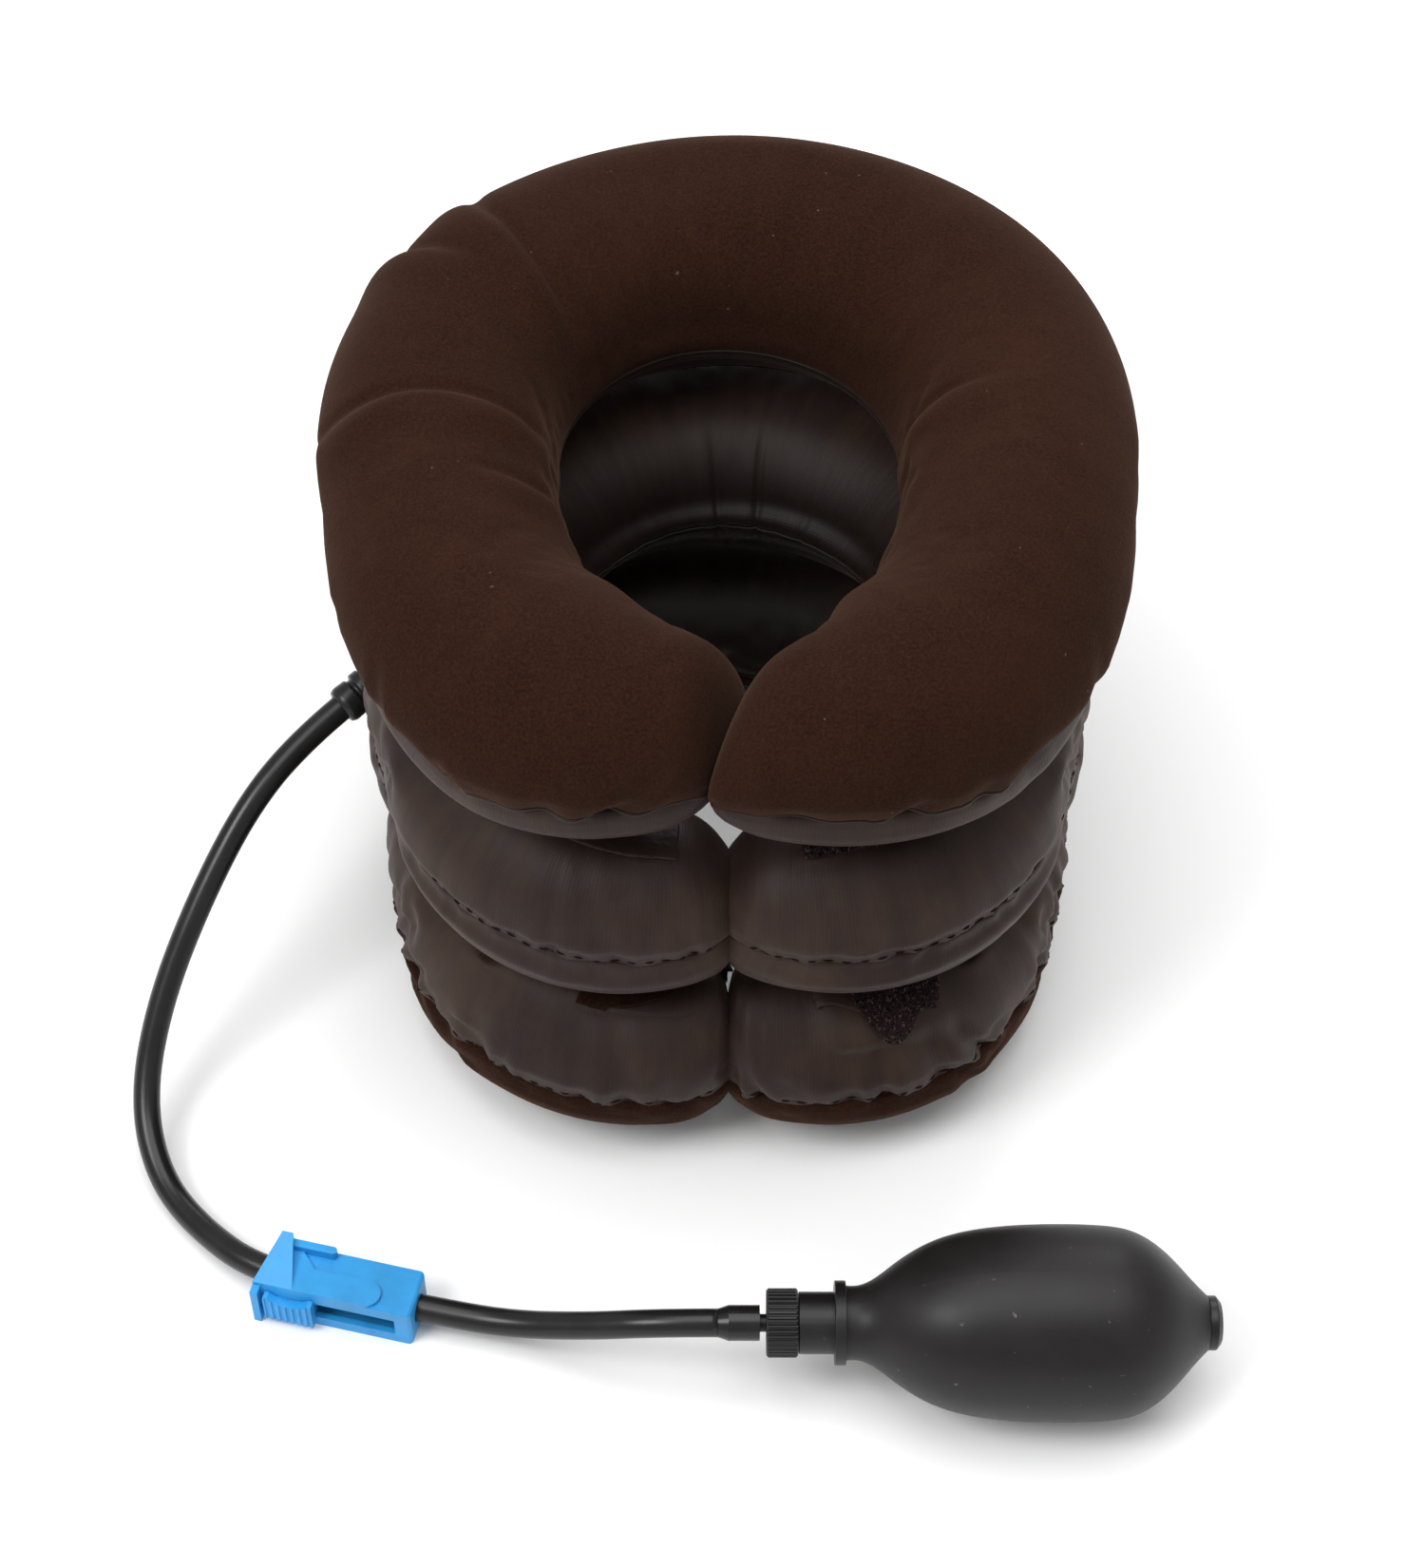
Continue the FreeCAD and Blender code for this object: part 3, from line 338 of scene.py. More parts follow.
def moulded(name, colour, rough=(0.38, 0.52), grain=0.00004, specks=0.0, level=0.5):
    """Moulded plastic or rubber with a faint grain, uneven gloss and handling dust."""
    n = Nodes(name)
    wear = n.noise(38.0, 5.0, 0.65)
    fine = n.noise(1400.0, 3.0, 0.7)
    dark = tuple(c * 0.82 for c in colour)
    pale = tuple(min(1.0, c * 1.16 + 0.002) for c in colour)
    tint = n.ramp(wear, [(0.32, dark), (0.5, colour), (0.7, pale)])
    if specks:
        dust = n.levels(n.noise(420.0, 2.0), 0.72, 0.80, 0.0, specks)
        tint = n.mix(dust, tint, (0.30, 0.29, 0.28, 1.0))
    n.bump(fine, grain, 0.5)
    n.bump(wear, grain * 6.0, 0.4)
    return n.set(
        Base_Color=tint,
        Roughness=n.levels(wear, 0.3, 0.7, rough[0], rough[1]),
        Specular_IOR_Level=level,
    )


def floor_material():
    n = Nodes("floor")
    cloud = n.noise(3.0, 2.0)
    colour = n.ramp(cloud, [(0.3, (0.90, 0.90, 0.90)), (0.7, (0.93, 0.93, 0.93))])
    return n.set(Base_Color=colour, Roughness=0.8, Specular_IOR_Level=0.1)


# ---------------------------------------------------------------- mesh tools


def mesh_object(name, vertices, faces, material=None):
    mesh = bpy.data.meshes.new(name)
    corners = [tuple(map(float, v)) for v in vertices]
    mesh.from_pydata(corners, [], [tuple(map(int, f)) for f in faces])
    mesh.update()
    if material:
        mesh.materials.append(material)
    mesh.polygons.foreach_set("use_smooth", [True] * len(mesh.polygons))
    return placed(name, mesh)


def settled_mesh(item):
    """Give the item the mesh that its modifiers make, and drop them."""
    bpy.context.view_layer.update()
    graph = bpy.context.evaluated_depsgraph_get()
    mesh = bpy.data.meshes.new_from_object(item.evaluated_get(graph))
    item.modifiers.clear()
    item.data = mesh
    return mesh


def paint(node, material):
    """Give a CAD node its material."""
    item = frame["nodes"][node]
    item.data.materials.clear()
    item.data.materials.append(material)
    item.data.polygons.foreach_set("material_index", [0] * len(item.data.polygons))


def bevelled(node, material, width, name):
    """A copy of a CAD node with its edges rounded, standing for that node."""
    data = frame["nodes"][node].data.copy()
    work = bmesh.new()
    work.from_mesh(data)
    bmesh.ops.remove_doubles(work, verts=work.verts, dist=1e-6)
    edges, corners = list(work.edges), list(work.verts)
    bmesh.ops.dissolve_limit(work, angle_limit=math.radians(4.0), verts=corners, edges=edges)
    work.to_mesh(data)
    work.free()
    data.name = name
    data.materials.clear()
    data.materials.append(material)
    item = placed(name, data)
    bevel = item.modifiers.new("rounding", "BEVEL")
    bevel.width = width
    bevel.segments = 3
    bevel.limit_method = "ANGLE"
    bevel.angle_limit = math.radians(28.0)
    bevel.use_clamp_overlap = True
    bevel.harden_normals = False
    normals = item.modifiers.new("shading", "WEIGHTED_NORMAL")
    normals.keep_sharp = True
    data.polygons.foreach_set("use_smooth", [True] * len(data.polygons))
    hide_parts(node)
    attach(item, body_of[node])


body_of = {
    node: body
    for body, nodes in frame["record"]["behaviour"]["bodies"].items()
    for node in nodes
}


def frames_along(points):
    """Side and up directions that don't twist along a line of points."""
    tangents = np.gradient(points, axis=0)
    tangents /= np.linalg.norm(tangents, axis=1)[:, None]
    side = np.cross(tangents[0], [0.0, 0.0, 1.0])
    side /= np.linalg.norm(side)
    sides = []
    for tangent in tangents:
        side = side - tangent * np.dot(side, tangent)
        side /= np.linalg.norm(side)
        sides.append(side)
    sides = np.array(sides)
    return sides, np.cross(tangents, sides)


def grid_faces(rows, columns):
    """Faces of a tube grid that is open at both ends."""
    faces = []
    for a in range(0, (rows - 1) * columns, columns):
        b = a + columns
        for j in range(columns):
            k = (j + 1) % columns
            faces.append((a + j, a + k, b + k, b + j))
    return faces


def swept(name, points, radii, material, around):
    """A closed round bar along points, with a radius at each."""
    sides, ups = frames_along(points)
    angles = np.linspace(0, 2 * math.pi, around, endpoint=False)
    turn = angles[None, :, None]
    ring = np.cos(turn) * sides[:, None] + np.sin(turn) * ups[:, None]
    grid = points[:, None] + ring * np.asarray(radii)[:, None, None]
    last = (len(points) - 1) * around
    faces = grid_faces(len(points), around)
    faces.append(tuple(range(around))[::-1])
    faces.append(tuple(range(last, last + around)))
    return mesh_object(name, grid.reshape(-1, 3), faces, material)


# ---------------------------------------------------------------- air tube

TUBE_ROUTE = [
    (-141.5, -47.0, 75.5),
    (-156.5, -69.0, 57.5),
    (-169.5, -92.0, 35.0),
    (-175.0, -113.5, 15.5),
    (-169.5, -135.0, 6.0),
    (-156.0, -152.5, 4.3),
    (-134.5, -170.8, 8.0),
    (-84.0, -183.2, 8.0),
    (-62.0, -188.0, 8.8),
    (-40.0, -194.0, 18.0),
    (-19.0, -198.6, 27.5),
    (-3.0, -198.6, 27.5),
]
TUBE_RADIUS = 4.0 * MM
PORT_DIRECTION = Vector((-0.76, -0.58, -0.28)).normalized()
FERRULE_BACK = 2.0 * MM
FERRULE_LENGTH = 11.0 * MM
PORT_STRAIGHT = 17.4 * MM


def port_place():
    """Where the tube leaves the middle tier: the ferrule's middle, less half its length."""
    low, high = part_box("inlet_ferrule")
    centre = (low + high) / 2
    return centre - PORT_DIRECTION * (FERRULE_LENGTH / 2 - FERRULE_BACK)


port = port_place()
tube_start = port + PORT_DIRECTION * 3.0 * MM


def add_tube(material):
    straight = tube_start + PORT_DIRECTION * PORT_STRAIGHT
    route = [tube_start, straight] + [Vector(p) * MM for p in TUBE_ROUTE]
    curve = bpy.data.curves.new("tube_route", "CURVE")
    curve.dimensions = "3D"
    spline = curve.splines.new("NURBS")
    spline.points.add(len(route) - 1)
    for point, place in zip(spline.points, route):
        point.co = (*place, 1.0)
    spline.order_u = 3
    spline.use_endpoint_u = True
    spline.resolution_u = 14
    line = placed("tube_route", curve)
    bpy.context.view_layer.update()
    sampled = bpy.data.meshes.new_from_object(line)
    points = np.array([v.co for v in sampled.vertices], float)
    bpy.data.objects.remove(line)
    tube = swept("air_hose", points, np.full(len(points), TUBE_RADIUS), material, 40)
    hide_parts("air_tube")
    length = float(np.linalg.norm(np.diff(points, axis=0), axis=1).sum())
    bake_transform(tube)
    return tube, points, length


# ---------------------------------------------------------------- inflated tiers

# the simulated cloth: its mesh along and around the ring, and how finely it is read back
RING_STEP = 4.6 * MM
UPPER_CELLS = 22
LOWER_CELLS = 20
FINE = 3
SEAM_IN = UPPER_CELLS * FINE
SEAM_OUT = (UPPER_CELLS + LOWER_CELLS) * FINE
CLOTH_STEPS = 20
MOST_SWELL = 5 * MM
END_RUN = 17 * MM
END_STEPS = 6

# how far the fabric lies inside the CAD skin, before it is blown up and under a patch
CLOTH_INSET = 0.1 * MM
PATCH_INSET = 0.25 * MM
COVER_THICKNESS = 1.1 * MM
BLADDER_INSET = 4.2 * MM

# where two tiers meet: the lower one's limit above its CAD top, the upper one's foot above it
CONTACT = 0.4 * MM
CLEAR = 0.6 * MM
SOFT_EDGE = 1.5 * MM

# stitches: the grid column they follow, and the height and radius (mm) along each one
STITCH_COLUMN = 1
STITCH_END = 6 * MM
STITCH_PITCH = 3.4 * MM
STITCH_LIFT = 0.1 * MM
STITCH_AROUND = 6
STITCH_SHAPE = np.array([(-0.25, 0.15), (0.12, 0.3), (0.12, 0.3), (-0.25, 0.15)])

# a seam bead changes its thickness every so many rows
BEAD_RUN = 9
BEAD_SIDES = 8

# sewn patches: remeshing, nap, height above the fabric, and how far from it they still follow
PATCH_VOXEL = 0.45 * MM
PATCH_GRAIN = 0.12 * MM
PATCH_LIFT = 0.1 * MM
FOLLOW_WHOLLY = 3 * MM
FOLLOW_FADE = 4 * MM
LOOP_SPACING = 0.75 * MM


class Tier:
    """One inflated ring as a grid of points: along the ring and around its section."""

    SIDE = 260.0 * MM
    SIDE_TURN = math.radians(14.0)
    TIP_WIDTH = 19.0 * MM
    TIP_TAPER = 62.0 * MM
    TIP_HEIGHT = 24.0 * MM

    # shape of the tips and slouch of the ring, where a tier doesn't give its own
    EASE = {
        "tip_top": TIP_HEIGHT, "round_top": 17 * MM, "round_foot": 17 * MM,
        "lean": 0.0, "stagger": 0.0, "swell": 0.0, "back_swell": 0.0,
        "shoulder_swell": 0.0, "cheek": 0.0,
    }

    def __init__(self, name, nodes, joint, ring, corner, shift, half_height, seam_drop, **ease):
        self.name = name
        self.nodes = nodes
        self.joint = joint
        self.body = body_of[nodes[0]]
        self.ring = ring
        self.corner = corner
        self.shift = shift
        self.half_height = half_height
        vars(self).update(self.EASE | ease)
        high = max(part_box(node)[1].z for node in nodes)
        self.reach = max(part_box(node)[1].x for node in nodes)
        self.half_width = self.reach - ring
        self.centre_z = high - half_height
        # where the tier stands; the bottom one's section is cut off flat by the floor
        self.anchor = (0, 0, max(0.0, self.centre_z - half_height))
        self.seam_z = self.centre_z - seam_drop
        self.seam_angle = math.asin(-seam_drop / half_height)
        self.back_run = ring * math.pi / 2
        self.side_run = self.SIDE * self.SIDE_TURN
        self.corner_run = corner * (math.pi / 2 - self.SIDE_TURN)
        spread = self.SIDE - corner
        self.corner_x = ring - self.SIDE + spread * math.cos(self.SIDE_TURN)
        self.corner_y = -spread * math.sin(self.SIDE_TURN)
        self.length = self.back_run + self.side_run + self.corner_run + self.corner_x

    def plan(self, travel):
        """Centre points and outward directions of the right half."""
        side_end = self.back_run + self.side_run
        corner_end = side_end + self.corner_run
        part = [travel <= self.back_run, travel <= side_end, travel <= corner_end]
        angle = np.select(
            part,
            [
                math.pi / 2 - travel / self.ring,
                -(travel - self.back_run) / self.SIDE,
                -self.SIDE_TURN - (travel - side_end) / self.corner,
            ],
            -math.pi / 2,
        )
        zero = np.zeros_like(travel)
        centre_x = np.select(part, [zero, zero + self.ring - self.SIDE, zero + self.corner_x],
                             self.corner_x - (travel - corner_end))
        centre_y = np.where(travel <= side_end, 0.0, self.corner_y) + self.shift
        radius = np.select(part[:2], [zero + self.ring, zero + self.SIDE], self.corner)
        outward = np.stack([np.cos(angle), np.sin(angle)], -1)
        centre = np.stack([centre_x, centre_y], -1) + outward * radius[:, None]
        return centre, outward

    def ring_angles(self, upper, lower):
        """Section angles from the outer seam, over the top to the inner seam and back."""
        start, end = self.seam_angle, math.pi - self.seam_angle
        top = np.linspace(start, end, upper, endpoint=False)
        under = np.linspace(end, start + 2 * math.pi, lower, endpoint=False)
        return np.concatenate([top, under])

    def skin(self, signed, angles, gap, shrink):
        """The ring's skin before it is inflated, as an array of points."""
        travel = np.abs(signed)
        centre, outward = self.plan(np.minimum(travel, self.length))
        to_tip = self.length - travel
        ease = np.sin(np.clip(to_tip / self.TIP_TAPER, 0, 1) * math.pi / 2)
        width = self.TIP_WIDTH + (self.half_width - self.TIP_WIDTH) * ease - shrink
        tip = np.where(np.sin(angles) > 0, self.tip_top, self.TIP_HEIGHT)
        height = tip + (self.half_height - tip) * ease[:, None] - shrink
        inside = np.clip(to_tip - gap, 0, None)
        cap = lambda run, power: (1 - (1 - np.clip(inside / run, 0, 1)) ** power) ** (1 / power)
        width = width * (0.66 + 0.34 * cap(13 * MM, 2.2))
        over, under = (0.03 + 0.97 * cap(run, 2.5) for run in (self.round_top, self.round_foot))
        crown = np.where(np.sin(angles)[None] > 0, over[:, None], under[:, None])
        across = width[:, None] * np.cos(angles)[None]
        rise = height * np.sin(angles)[None]
        drop = self.seam_z - self.centre_z
        rise = drop + (rise - drop) * crown
        grid = np.zeros((len(signed), len(angles), 3))
        grid[..., :2] = centre[:, None] + outward[:, None] * across[..., None]
        grid[..., 2] = self.centre_z + rise
        grid[..., 0] *= np.sign(signed)[:, None]
        return grid

    def slouch(self, signed, angles, grid):
        """The uneven way that the inflated ring sits, added to its skin."""
        travel = np.abs(signed)
        to_tip = self.length - travel
        near = np.exp(-to_tip / (26 * MM))[:, None]
        front = self.corner_y + self.shift - self.corner
        inward = np.clip((grid[..., 1] - front) / (30 * MM), -1, 1)
        reach = grid[..., 0] / self.reach
        grid[..., 0] += self.swell * np.sin(reach * math.pi / 2)
        behind = np.clip((grid[..., 1] - self.shift) / (self.ring + self.half_width), 0, 1)
        grid[..., 1] += self.back_swell * np.sin(behind * math.pi / 2) ** 1.5
        share = travel / self.back_run
        shoulder = np.exp(-(((share - 0.62) / 0.3) ** 2))[:, None]
        outer = np.clip(np.cos(angles), 0, 1)[None]
        outward = self.plan(travel)[1]
        outward[:, 0] *= np.sign(signed)
        grid[..., :2] += outward[:, None] * (self.shoulder_swell * shoulder * outer)[..., None]
        at_corner = self.back_run + self.side_run + 0.45 * self.corner_run
        cheek_run = 0.30 * self.corner_run + 14 * MM
        cheek = np.exp(-(((travel - at_corner) / cheek_run) ** 2))[:, None]
        inner = np.clip(-np.cos(angles), 0, 1)[None]
        grid[..., :2] -= outward[:, None] * (self.cheek * cheek * inner)[..., None]
        grid[..., 0] += self.lean * near * inward
        right = np.clip(signed / (20 * MM), 0, 1) * np.exp(-to_tip / (70 * MM))
        grid[..., 1] -= self.stagger * right[:, None]
        return grid


def flatten(item, tier, body=None):
    """Ride on a body, the tier's unless another is given, with a mesh of its own."""
    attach(item, body or tier.body)
    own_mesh(item)


def end_faces(columns, row, flip):
    """Close an end: each point of the upper row meets its partner on the lower row."""
    first = row * columns
    faces = []
    lower = columns - UPPER_CELLS
    for j in range(UPPER_CELLS):
        a = first + j
        b = first + j + 1
        c = first + (columns - round((j + 1) * lower / UPPER_CELLS)) % columns
        d = first + (columns - round(j * lower / UPPER_CELLS)) % columns
        unique = list(dict.fromkeys([a, b, c, d]))
        if len(unique) >= 3:
            faces.append(tuple(unique[::-1] if flip else unique))
    return faces


def cloth_inflate(name, grid, pinch):
    """Inflate the grid as cloth: held in at its seams, blown out between them."""
    rows, columns, _ = grid.shape
    faces = grid_faces(rows, columns)
    faces += end_faces(columns, 0, True) + end_faces(columns, rows - 1, False)
    item = mesh_object(name, grid.reshape(-1, 3), faces)
    work = bmesh.new()
    work.from_mesh(item.data)
    bmesh.ops.recalc_face_normals(work, faces=work.faces)
    work.to_mesh(item.data)
    work.free()
    seam = item.vertex_groups.new(name="seam")
    for i in range(rows):
        for j in (0, UPPER_CELLS):
            seam.add([i * columns + j], 1.0, "REPLACE")
            for step, weight in ((1, 0.6), (-1, 0.6)):
                seam.add([i * columns + (j + step) % columns], weight, "REPLACE")
    cloth = item.modifiers.new("inflate", "CLOTH")
    settings = cloth.settings
    settings.quality = 6
    settings.mass = 0.25
    settings.tension_stiffness = 12
    settings.compression_stiffness = 12
    settings.shear_stiffness = 4
    settings.bending_stiffness = 0.08
    settings.air_damping = 4
    settings.use_pressure = True
    settings.uniform_pressure_force = 4
    settings.shrink_min = -0.02
    settings.shrink_max = pinch
    settings.vertex_group_shrink = "seam"
    settings.effector_weights.gravity = 0
    cloth.collision_settings.use_collision = False
    cloth.point_cache.frame_start = 1
    cloth.point_cache.frame_end = CLOTH_STEPS
    scene = bpy.context.scene
    for step in range(1, CLOTH_STEPS + 1):
        scene.frame_set(step)
    graph = bpy.context.evaluated_depsgraph_get()
    blown = item.evaluated_get(graph).to_mesh()
    moved = np.array([v.co for v in blown.vertices], float).reshape(grid.shape)
    scene.frame_set(1)
    bpy.data.objects.remove(item)
    shift = moved - grid
    size = np.linalg.norm(shift, axis=-1, keepdims=True)
    return grid + shift * np.minimum(1.0, MOST_SWELL / np.maximum(size, 1e-9))


def resample(grid, positions, axis, wrap):
    """Smooth (cubic) reading of a grid between its rows or columns."""
    count = grid.shape[axis]
    low = np.floor(positions).astype(int)
    part = positions - low

    def row(offset):
        index = low + offset
        index = index % count if wrap else np.clip(index, 0, count - 1)
        return np.take(grid, index, axis=axis)

    shape = [1] * grid.ndim
    shape[axis] = len(positions)
    t = part.reshape(shape)
    a, b, c, d = row(-1), row(0), row(1), row(2)
    return 0.5 * (
        2 * b + (c - a) * t + (2 * a - 5 * b + 4 * c - d) * t**2 + (3 * b - a - 3 * c + d) * t**3
    )


def grid_normals(grid):
    along = np.gradient(grid, axis=0)
    around = np.roll(grid, -1, axis=1) - np.roll(grid, 1, axis=1)
    normal = np.cross(around, along)
    normal /= np.maximum(np.linalg.norm(normal, axis=-1, keepdims=True), 1e-9)
    return normal


class Folds:
    """Adds wrinkle depth over a tier's cloth; along is metres from the back and angle is
    the section angle."""

    def __init__(self, signed, angles, tier, seed):
        self.along = signed[:, None]
        self.angle = angles[None, :]
        self.tier = tier
        self.depth = np.zeros((len(signed), len(angles)))
        self.random = np.random.default_rng(seed)
        self.to_tip = (tier.length - np.abs(signed))[:, None]

    def waves(self, amount, length, count=14):
        """Broad unevenness."""
        for _ in range(count):
            run = length * self.random.uniform(0.7, 1.6)
            turns = self.random.integers(0, 4)
            phase, twist = self.random.uniform(0, 2 * math.pi, 2)
            wave = np.sin(self.along * 2 * math.pi / run + phase)
            wave = wave * np.cos(turns * self.angle + twist)
            self.depth += wave * amount / math.sqrt(count)

    def groove(self, seam_angle, depth, width):
        distance = self.seam_distance(seam_angle)
        self.depth -= depth * np.exp(-((distance / width) ** 2))

    def seam_distance(self, seam_angle):
        turn = (self.angle - seam_angle + math.pi) % (2 * math.pi) - math.pi
        return turn * self.tier.half_height

    def puckers(self, seam_angle, side, spacing, depth, reach, width=2.2 * MM, start=0.0):
        """Short pleats that leave a seam on one side (+1 above it, -1 below it), from a
        distance from the back to the tips."""
        lean = 0.25
        distance = self.seam_distance(seam_angle) * side
        if math.cos(seam_angle) < 0:
            distance = -distance
        beyond = np.clip(distance, 0, None)
        near_seam = np.where(distance > -1.0 * MM, 1.0, 0.0)
        place = -self.tier.length
        while place < self.tier.length:
            place += spacing * self.random.uniform(0.45, 1.6)
            size = self.random.uniform(0.35, 1.3)
            if abs(place) < start:
                continue
            length = reach * size
            broad = width * self.random.uniform(0.7, 1.5)
            slant = lean * self.random.normal()
            offset = self.along - place - slant * beyond
            valley = np.exp(-((offset / broad) ** 2))
            shoulder = np.exp(-(((np.abs(offset) - 1.9 * broad) / broad) ** 2))
            fade = np.exp(-((beyond / length) ** 1.5)) * near_seam
            self.depth += depth * size * (0.55 * shoulder - valley) * fade

    def crease(self, place, angle, span, width, depth, slant=0.0, pad=0.8, side=-1):
        """One long fold across the ring: a thin valley with a soft pad on one side. Its
        middle is at a distance from the back and a section angle."""
        turn = (self.angle - angle + math.pi) % (2 * math.pi) - math.pi
        offset = (self.along - place - slant * turn) * side
        window = np.clip(1 - (turn / span) ** 2, 0, 1) ** 1.2
        valley = np.exp(-((offset / width) ** 2))
        swollen = np.exp(-(((offset - 3.2 * width) / (2.8 * width)) ** 2))
        self.depth += depth * window * (pad * swollen - valley)


def fine_positions(count, factor):
    return np.linspace(0, count - 1, (count - 1) * factor + 1)


def press_flat(tier, work, gap, grid, patches):
    """Lay the fabric on the CAD surface where a sewn patch covers it."""
    flat = tier.skin(work.along[:, 0], work.angle[0], gap, PATCH_INSET)
    reach = (tier.length - np.abs(work.along)) * np.where(work.along < 0, -1, 1)
    share = np.zeros(work.depth.shape)
    for first, last, low, high in patches:
        inside = np.minimum(reach - first * MM, last * MM - reach) / (7 * MM)
        between = np.minimum(work.angle - math.radians(low), math.radians(high) - work.angle) / 0.2
        cover = np.clip(inside, 0, 1) * np.clip(between, 0, 1)
        share = np.maximum(share, cover * cover * (3 - 2 * cover))
    return grid + (flat - grid) * share[..., None]


def build_tier(tier, gap, folds, floor, ceiling, seed, pinch, patches=()):
    """The tier's final grid of points, with its rows and section angles."""
    turn = np.linspace(0, math.pi / 2, END_STEPS, endpoint=False)
    end = tier.length - gap
    near = end - END_RUN * (1 - np.cos(turn))
    body = end - END_RUN
    half = np.concatenate([np.linspace(0, body, int(body / RING_STEP)), near[::-1]])
    signed = np.concatenate([-half[::-1], half[1:]])
    angles = tier.ring_angles(UPPER_CELLS, LOWER_CELLS)
    grid = tier.skin(signed, angles, gap, CLOTH_INSET)
    grid = cloth_inflate(f"{tier.name}_cloth", grid, pinch)
    rows = fine_positions(len(signed), FINE)
    columns = np.arange(0, len(angles) * FINE) / FINE
    grid = resample(resample(grid, rows, 0, False), columns, 1, True)
    signed = np.interp(rows, np.arange(len(signed)), signed)
    wrapped = np.append(angles, angles[0] + 2 * math.pi)
    angles = np.interp(columns, np.arange(len(wrapped)), wrapped)
    work = Folds(signed, angles, tier, seed)
    folds(work)
    fade = np.clip((work.to_tip - gap) / (6 * MM), 0, 1)
    grid = grid + grid_normals(grid) * (work.depth * fade)[..., None]
    grid = tier.slouch(signed, angles, grid)
    grid = press_flat(tier, work, gap, grid, patches)
    if ceiling is not None:
        grid[..., 2] = soft_limit(grid[..., 2], ceiling)
    grid[..., 2] = -soft_limit(-grid[..., 2], -floor)
    return signed, angles, grid


def soft_limit(value, limit):
    """Values run smoothly into a limit and stay on it."""
    start = limit - SOFT_EDGE
    over = value - start
    eased = start + SOFT_EDGE * (1 - np.exp(-np.clip(over, 0, None) / SOFT_EDGE))
    return np.where(over > 0, eased, value)


def panel(tier, data, first, last, material, node):
    """One fabric panel, from one seam to the other, with its thickness turned inward."""
    signed, _, grid = data
    columns = [j % grid.shape[1] for j in range(first, last + 1)]
    patch = grid[:, columns]
    rows, width = patch.shape[:2]
    faces = []
    for i in range(rows - 1):
        for j in range(width - 1):
            a = i * width + j
            faces.append((a, a + 1, a + width + 1, a + width))
    item = mesh_object(f"{node}_panel", patch.reshape(-1, 3), faces, material)
    run = np.linalg.norm(np.diff(patch, axis=1), axis=-1).mean(0)
    across = np.concatenate([[0], np.cumsum(run)])
    layer = item.data.uv_layers.new(name="weave")
    loops = np.zeros(len(item.data.loops), int)
    item.data.loops.foreach_get("vertex_index", loops)
    uv = np.stack([signed[loops // width], across[loops % width]], -1)
    layer.data.foreach_set("uv", uv.astype(np.float32).ravel())
    thick = item.modifiers.new("cloth_thickness", "SOLIDIFY")
    thick.thickness = COVER_THICKNESS
    thick.offset = -1
    settled_mesh(item)
    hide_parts(node)
    flatten(item, tier)


def bladder(tier, grid, material):
    """The air bladder inside the fabric, a little smaller than it all over."""
    coarse = grid[:: FINE * 2, ::FINE]
    inner = coarse - grid_normals(coarse) * BLADDER_INSET
    inner = inner[2:-2]
    rows, columns, _ = inner.shape
    faces = grid_faces(rows, columns)
    faces += end_faces(columns, 0, True) + end_faces(columns, rows - 1, False)
    item = mesh_object(f"{tier.name}_air_bladder", inner.reshape(-1, 3), faces, material)
    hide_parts(f"{tier.name}_bladder")
    flatten(item, tier)


def stitches(name, tier, data, material):
    """A row of thread stitches just above the outer seam, up to the tips."""
    travel, _, grid = data
    line = grid[:, STITCH_COLUMN]
    normal = grid_normals(grid)[:, STITCH_COLUMN]
    vertices, faces = [], []
    end = tier.length - STITCH_END
    place = -end
    random = np.random.default_rng(len(name))
    while place < end:
        length = STITCH_PITCH * random.uniform(0.55, 0.72)
        at = np.linspace(place, place + length, len(STITCH_SHAPE))
        points = np.stack([np.interp(at, travel, line[:, k]) for k in range(3)], -1)
        ups = np.stack([np.interp(at, travel, normal[:, k]) for k in range(3)], -1)
        points = points + ups * (STITCH_LIFT + STITCH_SHAPE[:, 0] * MM)[:, None]
        points[:, 2] += random.normal() * 0.12 * MM
        tangent = points[-1] - points[0]
        tangent /= np.linalg.norm(tangent)
        side = np.cross(tangent, ups[1])
        side /= np.linalg.norm(side)
        up = np.cross(side, tangent)
        base = len(vertices)
        for point, radius in zip(points, STITCH_SHAPE[:, 1] * MM):
            for k in range(STITCH_AROUND):
                turn = 2 * math.pi * k / STITCH_AROUND
                vertices.append(point + (side * math.cos(turn) + up * math.sin(turn)) * radius)
        last = base + (len(points) - 1) * STITCH_AROUND
        for face in grid_faces(len(points), STITCH_AROUND):
            faces.append(tuple(base + corner for corner in face))
        faces.append(tuple(range(base, base + STITCH_AROUND))[::-1])
        faces.append(tuple(range(last, last + STITCH_AROUND)))
        place += STITCH_PITCH
    flatten(mesh_object(name, vertices, faces, material), tier)


def outer_faces(item, tier):
    """Centres, normals and areas of a patch's faces that look away from its tier."""
    mesh = item.data
    count = len(mesh.polygons)
    centres, normals, areas = np.zeros(count * 3), np.zeros(count * 3), np.zeros(count)
    mesh.polygons.foreach_get("center", centres)
    mesh.polygons.foreach_get("normal", normals)
    mesh.polygons.foreach_get("area", areas)
    centres, normals = centres.reshape(-1, 3), normals.reshape(-1, 3)
    heart = centres.copy()
    heart[:, 1] = tier.corner_y + tier.shift - tier.corner
    heart[:, 2] = tier.centre_z
    away = centres - heart
    away /= np.linalg.norm(away, axis=1)[:, None]
    seen = (normals * away).sum(1) > 0.6
    return centres[seen], normals[seen], areas[seen]


